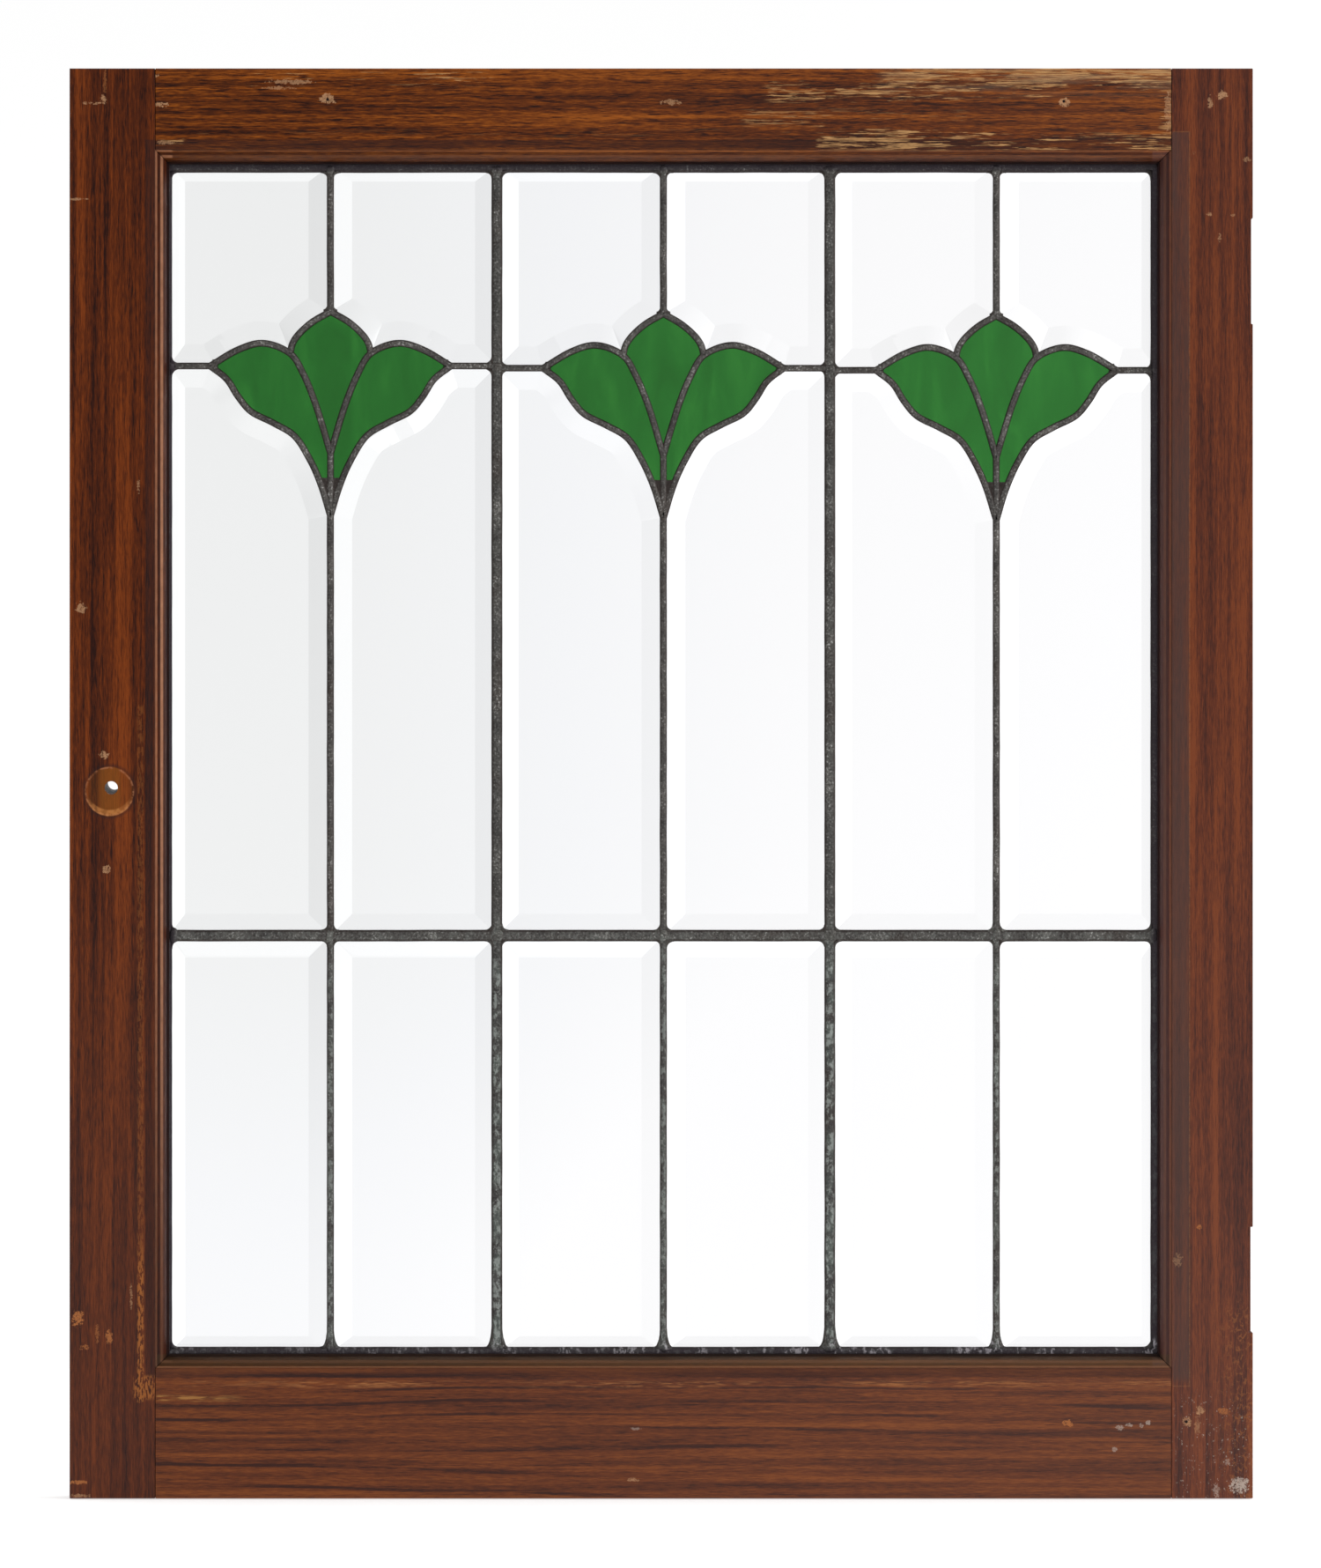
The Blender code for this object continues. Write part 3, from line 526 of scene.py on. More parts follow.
def lead_finish(name, base, seed, patina=0.0):
    """Old lead: dark grey-brown, hammered, with silvery patches that are rubbed metal and painted
    highlight, and painted shade along its edges and beside the sash.
    """
    lead = Finish(name)
    dents = lead.clouds(lead.place, 760.0, 5.0, 0.7)
    crust = lead.clouds(lead.stretched(1.0, 1.0, 0.6, seed + 6.0), 420.0, 4.0, 0.65)
    cloudy = lead.clouds(lead.stretched(1.0, 1.0, 1.0, seed), 60.0, 4.0, 0.6)
    grime = lead.clouds(lead.stretched(1.0, 1.0, 1.0, seed + 3.0), 22.0, 4.0, 0.6)
    tone = cloudy * 0.6 + dents * 0.35
    colour = lead.colours(tone, [(0.34, srgb(*(int(v * 0.62) for v in base))), (0.5, srgb(*base)),
                                 (0.62, srgb(*(min(255, int(v * 1.35)) for v in base)))])
    colour = lead.mix(grime.ramp(0.5, 0.68) * 0.5, colour, srgb(62, 50, 44))
    colour = lead.mix(dents.ramp(0.5, 0.38) * 0.6, colour, srgb(38, 35, 33))
    # Rubbed lead and painted highlight together: a silvery colour on the crests of the hammered dents
    silver = dents.ramp(0.55, 0.65) * (0.32 + cloudy.ramp(0.48, 0.62) * 0.6)
    colour = lead.mix(silver, colour, srgb(176, 176, 174))
    lower = lead.height.ramp(0.36, 0.3)
    green = cloudy.ramp(0.42, 0.6) * lower
    colour = lead.mix(green * patina * 0.7, colour, srgb(84, 104, 96))
    colour = lead.mix(crust.ramp(0.5, 0.6) * lower * patina * 1.4, colour, srgb(150, 156, 152))
    colour = lead.mix(crust.ramp(0.46, 0.38) * lower * patina, colour, srgb(44, 44, 48))
    # Painted shade: the lead darkens where its surface lies back from the came's face, along the flanges'
    # edges and in the heart
    sunk_shade = CAME_DEPTH / 2 - abs(lead.y - PANEL_MIDDLE)
    colour = lead.mix(sunk_shade.ramp(0.00008, 0.0004) * 0.8, colour, srgb(34, 22, 18))
    # Painted shadow, with dirt, darkens the border cames where they run in beside the sash's moulding
    beside = lead.outside_opening() + (grime - 0.5) * 0.004
    colour = lead.mix(beside.ramp(-0.0140, -0.0095) * 0.8, colour, srgb(38, 28, 38))
    at_bottom = lead.height.ramp(FACE_BOTTOM + 0.0180, FACE_BOTTOM + 0.0150)
    at_bottom = at_bottom * lead.across.ramp(0.05, 0.5, 0.3, 1.0)
    blotches = crust.ramp(0.50, 0.58) * cloudy.ramp(0.48, 0.56) * at_bottom
    colour = lead.mix(blotches * 0.65, colour, srgb(168, 162, 168))
    normal = lead.bump(dents, 0.55, 0.0006)
    return lead.surface(Base_Color=colour, Metallic=0.55, Roughness=dents.ramp(0.35, 0.65, 0.36, 0.55),
                        Normal=normal)


def clear_glass():
    """Clear plate with a trace of old dust on it, and painted shade that greys it towards the upper left.
    """
    glass = Finish("clear_plate_glass")
    film = glass.clouds(glass.place, 14.0, 4.0, 0.6) * 0.03
    # Painted shade: the plate is greyer at the upper left and clearer to the right and low down, standing
    # in for uneven light behind the window
    painted_backlight = glass.across.ramp(0.1, 0.5) + glass.height.ramp(0.40, 0.06) * 0.65
    tint = glass.colours(painted_backlight + film, [(0.0, srgb(240, 241, 241)), (0.5, srgb(246, 247, 249)),
                                          (1.0, srgb(253, 253, 254))])
    wave = glass.clouds(glass.place, 24.0, 2.0, 0.5)
    return glass.surface(Base_Color=tint, Roughness=0.0, IOR=1.5, Transmission_Weight=1.0,
                         Normal=glass.bump(wave, 0.06, 0.0006))


def green_glass():
    """Green cathedral glass with faint streaks, paler from flower to flower."""
    glass = Finish("green_cathedral_glass")
    streak = glass.clouds(glass.stretched(60.0, 60.0, 18.0), 1.0, 4.0, 0.6, 0.6)
    colour = glass.colours(streak, [(0.3, srgb(12, 94, 16)), (0.52, srgb(19, 104, 24)),
                                    (0.75, srgb(38, 122, 36))])
    deeper = glass.mix(1.0, colour, srgb(247, 247, 247), "MULTIPLY")
    paler = glass.mix(0.03, colour, srgb(140, 240, 140))
    colour = glass.mix(glass.x.ramp(BAY_LINES[0], BAY_LINES[-1]), deeper, paler)
    ripple = glass.clouds(glass.place, 90.0, 3.0, 0.5)
    return glass.surface(Base_Color=colour, Roughness=0.12, IOR=1.5, Transmission_Weight=1.0,
                         Normal=glass.bump(ripple, 0.12, 0.001))


# Plane geometry: outlines are lists of (x, z) points

def smooth_through(points, steps):
    """A smooth curve through the points, with this many steps from each to the next."""
    before = 2 * Vector(points[0]) - Vector(points[1])
    after = 2 * Vector(points[-1]) - Vector(points[-2])
    knots = [before, *(Vector(point) for point in points), after]
    curve = []
    for a, b, c, d in zip(knots, knots[1:], knots[2:], knots[3:]):
        for step in range(steps):
            t = step / steps
            bend = (2 * a - 5 * b + 4 * c - d) * t + (3 * b - a - 3 * c + d) * t * t
            curve.append(b + (c - a + bend) * t / 2)
    curve.append(Vector(points[-1]))
    return curve


def corner_velocity(edge_before, edge_after):
    """How a corner moves while the edges that meet there each move to their left."""
    _, normal_b, speed_b = edge_before
    _, normal_a, speed_a = edge_after
    turn = normal_b.x * normal_a.y - normal_b.y * normal_a.x
    if abs(turn) < PARALLEL:
        return normal_a * speed_a
    return Vector(((speed_b * normal_a.y - speed_a * normal_b.y) / turn,
                   (normal_b.x * speed_a - normal_a.x * speed_b) / turn))


def shift_edges(points, distances):
    """Moves every edge of a counter-clockwise outline inwards by its own distance.

    One point comes back for each that went in. An edge that the move uses up shrinks to a point.
    """
    count = len(points)
    place = [Vector(point) for point in points]
    lengths = [(place[(i + 1) % count] - place[i]).length for i in range(count)]
    joined_to = list(range(count))
    for i in range(1, count):
        if lengths[i - 1] < SAME_POINT:
            joined_to[i] = joined_to[i - 1]
    live = [i for i in range(count) if joined_to[i] == i]
    edge_before, edge_after = {}, {}
    for start, end in zip(live, live[1:] + live[:1]):
        run = [(start + step) % count for step in range((end - start) % count)]
        along = (place[end] - place[start]).normalized()
        distance = distances[max(run, key=lambda i: lengths[i])]
        edge_after[start] = edge_before[end] = (along, Vector((-along.y, along.x)), distance)
    time_left = 1.0
    while True:
        velocity = {i: corner_velocity(edge_before[i], edge_after[i]) for i in live}
        soonest, used_up = time_left, None
        for start, end in zip(live, live[1:] + live[:1]):
            along = edge_after[start][0]
            closing = (velocity[start] - velocity[end]).dot(along)
            length = (place[end] - place[start]).dot(along)
            if closing > STANDSTILL and length / closing < soonest:
                soonest, used_up = max(length / closing, 0.0), (start, end)
        for i in live:
            place[i] = place[i] + velocity[i] * soonest
        time_left -= soonest
        if used_up is None or len(live) <= 3:
            break
        start, end = used_up
        joined_to[end] = start
        edge_after[start] = edge_after[end]
        live.remove(end)
    for i in range(count):
        leader = i
        while joined_to[leader] != leader:
            leader = joined_to[leader]
        place[i] = place[leader].copy()
    return place


def moved(loop, x, z):
    return [Vector((point[0] + x, point[1] + z)) for point in loop]


def mirrored(loop):
    return [Vector((-point[0], point[1])) for point in reversed(loop)]


def flower_curves():
    """The three centrelines of a half flower, in metres from its axis and its tips' level."""
    return [[point * PETAL_REACH for point in smooth_through(shape, CURVE_STEPS)]
            for shape in (PETAL_UPPER_SHARES, PETAL_LOWER_SHARES, CENTRE_PETAL_SHARES)]


def tips_level(flower):
    """Height of a flower's petal tips, read from the green glass."""
    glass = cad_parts[f"flower_{flower}_right_petal"].data
    return max(glass.vertices, key=lambda vertex: vertex.co.x).co.z


# Meshes

def new_object(name, data):
    made = bpy.data.objects.new(name, data)
    bpy.context.scene.collection.objects.link(made)
    return made


def finished_mesh(mesh, name):
    """Turns an edited mesh into mesh data and frees it."""
    data = bpy.data.meshes.new(name)
    mesh.to_mesh(data)
    mesh.free()
    return data


def new_piece(name, mesh_data, finish):
    mesh_data.materials.clear()
    mesh_data.materials.append(finish)
    return new_object(name, mesh_data)


def refinish(node, finish):
    """Gives a solid that stays in sight its finish."""
    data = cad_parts[node].data
    data.materials.clear()
    data.materials.append(finish)


def keep(piece, slot, *nodes):
    """Hands a finished piece to the frame, in place of the nodes it stands for."""
    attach(piece, "root")
    if nodes:
        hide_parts(*nodes)
    return piece


def layered_mesh(name, layers):
    """A closed mesh from outlines of equal length at rising depths."""
    mesh = bmesh.new()
    rings = []
    for depth, loop in layers:
        rings.append([mesh.verts.new((point[0], depth, point[1])) for point in loop])
    count = len(rings[0])
    for near, far in zip(rings, rings[1:]):
        for i in range(count):
            j = (i + 1) % count
            mesh.faces.new((near[i], far[i], far[j], near[j]))
    for ring in (rings[0], rings[-1]):
        for triangle in tessellate_polygon([[vertex.co for vertex in ring]]):
            corners = [ring[i] for i in triangle]
            if len(set(corners)) == 3:
                mesh.faces.new(corners)
    bmesh.ops.remove_doubles(mesh, verts=mesh.verts, dist=SAME_POINT)
    bmesh.ops.dissolve_degenerate(mesh, edges=mesh.edges, dist=SAME_POINT)
    bmesh.ops.recalc_face_normals(mesh, faces=mesh.faces)
    if mesh.calc_volume(signed=True) < 0:
        bmesh.ops.reverse_faces(mesh, faces=mesh.faces)
    return finished_mesh(mesh, name)


# Shapes of lead, as geometry trees

def interface(tree, name, kind, direction="INPUT"):
    return tree.interface.new_socket(name, in_out=direction, socket_type=kind)


def shape_tree(name, kinds):
    """A tree that turns a mesh into another, with more inputs of these names and kinds."""
    tree = bpy.data.node_groups.new(name, "GeometryNodeTree")
    shape = Sheet(tree)
    interface(tree, "Geometry", "NodeSocketGeometry")
    for socket_name, kind in kinds:
        interface(tree, socket_name, kind)
    interface(tree, "Geometry", "NodeSocketGeometry", "OUTPUT")
    given = tree.nodes.new("NodeGroupInput")
    return shape, {socket.name: Value(shape, socket) for socket in given.outputs if socket.name}


def finished_tree(shape, geometry, finish):
    """Ends a tree: what it made gets shaded smooth and has the finish."""
    smooth = shape.node("GeometryNodeSetShadeSmooth", inputs={"Geometry": geometry})
    coloured = shape.node("GeometryNodeSetMaterial", inputs={"Geometry": smooth, "Material": finish})
    out = shape.tree.nodes.new("NodeGroupOutput")
    shape.tree.links.new(coloured.socket, out.inputs[0])
    return shape.tree


def own_value(shape, name, kind="FLOAT"):
    """What the source mesh says of this name at each of its points."""
    return shape.node("GeometryNodeInputNamedAttribute", {"data_type": kind}, {"Name": name})


def seeded_place(shape, seed):
    place = shape.node("GeometryNodeInputPosition")
    return shape.vectors("ADD", place, shape.node("ShaderNodeCombineXYZ", inputs={0: seed, 1: seed}))


def displaced(shape, geometry, where, scale, detail, reach, axes=(1.0, 1.0, 1.0)):
    """Moves every point by noise, at most half the reach along each of these axes."""
    noise = shape.node("ShaderNodeTexNoise", inputs={"Vector": where, "Scale": scale, "Detail": detail},
                       output="Color")
    centred = shape.vectors("SUBTRACT", noise, (0.5, 0.5, 0.5))
    kept = shape.vectors("MULTIPLY", centred, axes)
    offset = shape.node("ShaderNodeVectorMath", {"operation": "SCALE"}, {0: kept, "Scale": reach})
    return shape.node("GeometryNodeSetPosition", inputs={"Geometry": geometry, "Offset": offset})


def came_tree(finish):
    """Turns flat paths into H-shaped cames: two rounded flanges and the heart between them."""
    lengths = ("Width", "Flange", "Depth", "Heart", "Step", "Waver")
    kinds = [(name, "NodeSocketFloat") for name in lengths] + [("Seed", "NodeSocketInt")]
    shape, sizes = shape_tree("came_along_a_path", kinds)
    path = shape.node("GeometryNodeMeshToCurve", inputs={0: sizes["Geometry"]})
    path = shape.node("GeometryNodeResampleCurve", {"mode": "LENGTH"},
                      {"Curve": path, "Length": sizes["Step"]})
    path = shape.node("GeometryNodeSetCurveNormal", {"mode": "Z_UP"}, {0: path})
    where = seeded_place(shape, sizes["Seed"])
    swell = shape.node("ShaderNodeTexNoise", inputs={"Vector": where, "Scale": 240.0, "Detail": 2.0})
    path = displaced(shape, path, where, 40.0, 1.0, sizes["Waver"], (1.0, 1.0, 0.0))
    radius = own_value(shape, "relative_width") * (0.94 + swell * 0.12)
    path = shape.node("GeometryNodeSetCurveRadius", inputs={"Curve": path, "Radius": radius})
    ring = shape.node("GeometryNodeCurvePrimitiveCircle", {"mode": "RADIUS"},
                      {"Resolution": 14, "Radius": 1.0})
    spread = shape.node("ShaderNodeCombineXYZ", inputs={
        0: sizes["Width"] * 0.5, 1: sizes["Flange"] * 0.5, 2: 1.0})
    flange = shape.node("GeometryNodeTransform", inputs={"Geometry": ring, "Scale": spread})
    level = (sizes["Depth"] - sizes["Flange"]) * 0.5
    profiles = []
    for side in (-1.0, 1.0):
        lift = shape.node("ShaderNodeCombineXYZ", inputs={1: level * side})
        profiles.append(shape.node("GeometryNodeTransform", inputs={
            "Geometry": flange, "Translation": lift}))
    profiles.append(shape.node("GeometryNodeCurvePrimitiveQuadrilateral", inputs={
        "Width": sizes["Heart"], "Height": sizes["Depth"] - sizes["Flange"]}))
    joined = shape.node("GeometryNodeJoinGeometry")
    for profile in profiles:
        part = shape.node("GeometryNodeCurveToMesh", inputs={
            "Curve": path, "Profile Curve": profile, "Fill Caps": True})
        shape.tree.links.new(part.socket, joined.socket.node.inputs[0])
    return finished_tree(shape, joined, finish)


def run_tree(tree, name, source_data, sizes, finish):
    """Runs a geometry tree on flat source data and returns the result, stood up in the XZ plane."""
    source = new_object(name + "_path", source_data)
    modifier = source.modifiers.new("shape", "NODES")
    modifier.node_group = tree
    for item in tree.interface.items_tree:
        if item.in_out == "INPUT" and item.name in sizes:
            modifier[item.identifier] = sizes[item.name]
    depsgraph = bpy.context.evaluated_depsgraph_get()
    data = bpy.data.meshes.new_from_object(source.evaluated_get(depsgraph))
    bpy.data.objects.remove(source, do_unlink=True)
    data.name = name
    data.transform(Matrix.Rotation(math.radians(90), 4, "X"))
    data.transform(Matrix.Translation((0.0, PANEL_MIDDLE, 0.0)))
    return new_piece(name, data, finish)


def path_data(name, paths):
    """Flat edges for the tree: each path has (x, z) points and how wide its came is at each."""
    points, edges, widths = [], [], []
    for path, path_widths in paths:
        first = len(points)
        points += [(point[0], point[1], 0.0) for point in path]
        edges += [(first + i, first + i + 1) for i in range(len(path) - 1)]
        widths += list(path_widths)
    data = bpy.data.meshes.new(name)
    data.from_pydata(points, edges, [])
    attribute = data.attributes.new("relative_width", "FLOAT", "POINT")
    attribute.data.foreach_set("value", widths)
    return data


# The leaded panel

PANEL_LOW, PANEL_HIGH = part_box("border_left")
PANEL_MIDDLE = (PANEL_LOW.y + PANEL_HIGH.y) / 2
CAME_DEPTH = PANEL_HIGH.y - PANEL_LOW.y
FLANGE_EDGE = 0.0009
GLASS_BACK = PANEL_HIGH.y - FLANGE_EDGE - GLASS_CLEARANCE
BORDER_LEFT = middle("border_left").x
BORDER_RIGHT = middle("border_right").x
BORDER_TOP = middle("border_top").z
BORDER_BOTTOM = middle("border_bottom").z
CROSS_LEVEL = middle("cross_1").z
BAY_LINES = [BORDER_LEFT, middle("stem_1").x, middle("heavy_upright_1").x, middle("stem_2").x,
             middle("heavy_upright_2").x, middle("stem_3").x, BORDER_RIGHT]

# Shares of the solids' widths: rounded flanges look narrower than they are, the curved cames show
# most of it, and the heavy cames spread below the cross
VISIBLE_WIDTH = 1.08
PETAL_WIDTH = 1.19
PLAIN_WIDTHS = [1.0, 1.0]
THIN_WIDTHS = [1.12, 1.12]
CROSS_WIDTHS = [1.03, 1.03]
HEAVY_WIDTHS = [1.15, 1.15, 1.05, 1.05]
# The heavy cames go from one width to the other over this height above the cross
HEAVY_TAPER = 0.03
# How much less the left and bottom border cames reach over the glass in the photograph
NARROWER = {"left": 0.0025, "bottom": 0.0010}
# How far cames reach into the joints past the ends of their solids
JOINT_REACH = 0.002
CROWN_REACH = 0.003
CALYX_REACH = 0.004
CORNER_REACH = 0.005
TIP_REACH = 0.001
# The cames' sampling step and sideways waver, and how far the calyx lies below their faces
SAMPLE_STEP = 0.0015
WAVER = 0.0004
CURVED_WAVER = 0.0003
CALYX_RECESS = 0.0005


def came_sizes(width, seed, waver=WAVER):
    return {"Width": width, "Flange": FLANGE_THICKNESS, "Depth": CAME_DEPTH, "Heart": HEART,
            "Step": SAMPLE_STEP, "Waver": waver, "Seed": seed}


def straight_came(tree, node, finish, reach_start, reach_end, widths):
    """One straight came, as long as its solid, or further into its joints."""
    low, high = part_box(node)
    low, high = low.copy(), high.copy()
    high.x -= NARROWER["left"] if node == "border_left" else 0.0
    high.z -= NARROWER["bottom"] if node == "border_bottom" else 0.0
    centre = (low + high) / 2
    if high.z - low.z > high.x - low.x:
        path = [(centre.x, low.z - reach_start), (centre.x, high.z + reach_end)]
        width = high.x - low.x
    else:
        path = [(low.x - reach_start, centre.z), (high.x + reach_end, centre.z)]
        width = high.z - low.z
    seed = sum(ord(letter) for letter in node)
    if node.startswith("heavy"):
        path = [path[0], (centre.x, CROSS_LEVEL), (centre.x, CROSS_LEVEL + HEAVY_TAPER), path[1]]
    data = path_data(node, [(path, widths)])
    keep(run_tree(tree, node + "_lead", data, came_sizes(width, seed), finish), "lead", node)


def flower_cames(tree, flower, finish):
    """All the curved cames of one flower, with its two tip bars."""
    upper, lower, crown = flower_curves()
    low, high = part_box(f"flower_{flower}_cames")
    axis, level = BAY_LINES[2 * flower - 1], tips_level(flower)
    bar = TIP_BAR / CURVED_CAME * VISIBLE_WIDTH
    paths = [([(low.x - axis - TIP_REACH, 0.0), (-PETAL_REACH, 0.0)], [bar] * 2),
             ([(PETAL_REACH, 0.0), (high.x - axis + TIP_REACH, 0.0)], [bar] * 2)]
    for side in (-1, 1):
        for curve in (upper, lower, crown):
            paths.append(([(side * point.x, point.y) for point in curve], [PETAL_WIDTH] * len(curve)))
    paths.append(([(0.0, upper[-1].y), (0.0, lower[-1].y)], [PETAL_WIDTH] * 2))
    placed = [(moved(path, axis, level), widths) for path, widths in paths]
    piece = run_tree(tree, f"flower_{flower}_lead", path_data("flower", placed),
                     came_sizes(CURVED_CAME, flower, CURVED_WAVER), finish)
    keep(piece, "lead", f"flower_{flower}_cames")


def calyx_wedge(flower, finish):
    """Solid lead between the two lower cames, where the petals run into the stem."""
    _, lower, _ = flower_curves()
    axis, level = BAY_LINES[2 * flower - 1], tips_level(flower)
    right = lower[CALYX_POINT * CURVE_STEPS - 2:]
    outline = list(reversed(right)) + [Vector((-point.x, point.y)) for point in right]
    outline = moved(outline, axis, level)
    outline.reverse()
    data = layered_mesh("wedge", [(PANEL_LOW.y + CALYX_RECESS, outline),
                                  (PANEL_HIGH.y - CALYX_RECESS, outline)])
    keep(new_piece(f"flower_{flower}_calyx", data, finish), "lead")


def clear_light_loops(number):
    """Centreline outlines of the top and the middle light in one bay, in the row frame."""
    upper, lower, crown = flower_curves()
    flower = (number + 1) // 2
    axis, level = BAY_LINES[2 * flower - 1], tips_level(flower)
    width = BAY_LINES[number] - BAY_LINES[number - 1]
    top, cross = BORDER_TOP - level, CROSS_LEVEL - level
    above = [Vector((0.0, top))] + crown + list(reversed(upper[:JUNCTION_POINT * CURVE_STEPS]))
    above += [Vector((width, 0.0)), Vector((width, top))]
    below = [Vector((width, 0.0))] + lower[:-1]
    below += [Vector((0.0, lower[-1].y)), Vector((0.0, cross)), Vector((width, cross))]
    loops = (above, below)
    if number % 2:
        loops = [mirrored(loop) for loop in loops]
    return [moved(loop, axis, level) for loop in loops]


def at_border(start, end):
    """Whether an edge lies along the top or a side of the panel."""
    along_top = abs(start.y - BORDER_TOP) < GLASS_CLEARANCE and abs(end.y - BORDER_TOP) < GLASS_CLEARANCE
    along_side = any(abs(start.x - line) < GLASS_CLEARANCE and abs(end.x - line) < GLASS_CLEARANCE
                     for line in (BORDER_LEFT, BORDER_RIGHT))
    return along_top or along_side


def bevelled_light(name, loop, finish):
    """A clear light with its bevels, following the flower's curves smoothly."""
    glass = shift_edges(loop, [GLASS_INSET] * len(loop))
    widths = [BORDER_BEVEL_WIDTH if at_border(start, end) else BEVEL_WIDTH
              for start, end in zip(loop, loop[1:] + loop[:1])]
    flat = shift_edges(glass, widths)
    data = layered_mesh(name, [(GLASS_BACK - LIGHT_THICKNESS, flat), (GLASS_BACK - LIGHT_EDGE, glass),
                               (GLASS_BACK, glass)])
    keep(new_piece(name + "_glass", data, finish), "clear_glass", name)


# Solder: webs that round every glass corner, and low lumps over the joints

def unit_web():
    """A corner web with legs one metre long, its arc hollow, one metre thick, for scaling."""
    steps = 7
    arc = [Vector((1 - math.sin(t), 1 - math.cos(t)))
           for t in (math.pi / 2 * step / steps for step in range(steps + 1))]
    outline = [Vector((-0.4, -0.4)), Vector((1.0, -0.4))] + arc + [Vector((-0.4, 1.0))]
    shrunk = [point * 0.86 for point in outline]
    data = layered_mesh("web", [(-1.0, shrunk), (-0.65, outline), (-0.35, outline), (0.0, shrunk)])
    data.transform(Matrix.Rotation(math.radians(-90), 4, "X"))
    return data


def unit_lump():
    """A ball of one metre radius, for scaling."""
    mesh = bmesh.new()
    bmesh.ops.create_uvsphere(mesh, u_segments=12, v_segments=6, radius=1.0)
    return finished_mesh(mesh, "lump")


def solder_tree(finish):
    """Puts a shape on every point, turned and scaled by the point's own values, and roughens it."""
    shape, sizes = shape_tree("solder_on_points", [
        ("Shape", "NodeSocketObject"), ("Roughness", "NodeSocketFloat"), ("Seed", "NodeSocketInt")])
    legs = own_value(shape, "legs", "FLOAT_VECTOR")
    unit = shape.node("GeometryNodeObjectInfo", inputs={"Object": sizes["Shape"]}, output="Geometry")
    around = shape.node("ShaderNodeCombineXYZ", inputs={2: own_value(shape, "turn")})
    placed = shape.node("GeometryNodeInstanceOnPoints", inputs={
        "Points": sizes["Geometry"], "Instance": unit, "Rotation": around, "Scale": legs})
    real = shape.node("GeometryNodeRealizeInstances", inputs={"Geometry": placed})
    where = seeded_place(shape, sizes["Seed"])
    return finished_tree(shape, displaced(shape, real, where, 330.0, 2.0, sizes["Roughness"]), finish)


def points_data(name, places):
    """Loose points for the tree: place, turn and scale of each."""
    data = bpy.data.meshes.new(name)
    data.from_pydata([place for place, _, _ in places], [], [])
    turns = data.attributes.new("turn", "FLOAT", "POINT")
    turns.data.foreach_set("value", [turn for _, turn, _ in places])
    legs = data.attributes.new("legs", "FLOAT_VECTOR", "POINT")
    legs.data.foreach_set("vector", [part for _, _, scale in places for part in scale])
    return data


LEVEL_ABOVE_GLASS = 0.0012
WEB_THICKNESS = 0.0020
LEVEL_BEHIND_GLASS = -0.0032
BACK_WEB_THICKNESS = 0.0009
QUARTER = math.pi / 2
# Legs of the webs along and across, and how far a flower's webs are set into its cames
CORNER_LEGS = (0.0028, 0.0046)
TIP_LEGS = (0.0078, 0.0027)
CROWN_LEGS = (0.0024, 0.0042)
HEAVY_FOOT_LEGS = (0.0036, 0.0150)
THIN_FOOT_LEGS = (0.0034, 0.0120)
TIP_INSET = 0.0016
FLOWER_INSET = 0.0012
# Lumps: their rise over the came, their sink into it, and their spread in half widths of the cames
LUMP_RISE = (0.0008, 0.0011)
LUMP_SINK = 0.0006
LUMP_SPREAD_X = (1.15, 1.4)
LUMP_SPREAD_Z = (1.2, 1.6)
LUMP_TURN = 0.2
BORDER_LUMP_HALF_WIDTH = 0.0025
SOLDER_SEED = 3
SOLDER_DRAWS = 11


def half(node):
    low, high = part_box(node)
    return (high - low) / 2


def came_half(line):
    """Half the width of the came on a bay line, counted from the left border."""
    if line in (0, 6):
        return half("border_left").x
    if line % 2:
        return half(f"bottom_upright_{(line + 1) // 2}").x
    return half(f"heavy_upright_{line // 2}").x


def glass_corners():
    """Every corner of the clear lights between straight cames: x, z and quarter turns."""
    border, cross = half("border_top").z, half("cross_1").z
    corners = []
    for number in range(1, 7):
        flower = (number + 1) // 2
        left = BAY_LINES[number - 1] + came_half(number - 1) - (NARROWER["left"] if number == 1 else 0.0)
        right = BAY_LINES[number] - came_half(number)
        floor = BORDER_BOTTOM + border - NARROWER["bottom"]
        tips = tips_level(flower)
        outer, side = (left, 0) if number % 2 else (right, 1)
        for x, quarter in ((left, 0), (right, 1)):
            corners.append((x, floor, quarter))
            corners.append((x, CROSS_LEVEL - cross, 3 - quarter))
            corners.append((x, CROSS_LEVEL + cross, quarter))
            corners.append((x, BORDER_TOP - border, 3 - quarter))
        corners.append((outer, tips - TIP_BAR / 2, 3 - side))
        corners.append((outer, tips + TIP_BAR / 2, side))
    return corners


def flares():
    """Where a tip bar meets its petal and where a thin upright meets a flower's top."""
    places = []
    for flower in FLOWERS:
        axis, level = BAY_LINES[2 * flower - 1], tips_level(flower)
        top = level + CENTRE_PETAL_SHARES[0][1] * PETAL_REACH + FLOWER_INSET
        for side in (-1, 1):
            tip = axis + side * (PETAL_REACH - TIP_INSET)
            above, below = (0, 3) if side > 0 else (1, 2)
            places.append((tip, level + FLOWER_INSET, above, TIP_LEGS[::side]))
            places.append((tip, level - FLOWER_INSET, below, TIP_LEGS[::-side]))
            places.append((axis + side * came_half(1) * 0.8, top, above, CROWN_LEGS[::side]))
    return places


def feet():
    """Solder drawn up the uprights where they stand on the bottom came."""
    floor = BORDER_BOTTOM + half("border_top").z - NARROWER["bottom"]
    places = []
    for line in range(1, 6):
        legs = THIN_FOOT_LEGS if line % 2 else HEAVY_FOOT_LEGS
        edge = came_half(line) * 0.98
        places.append((BAY_LINES[line] + edge, floor, 0, legs))
        places.append((BAY_LINES[line] - edge, floor, 1, legs[::-1]))
    return places


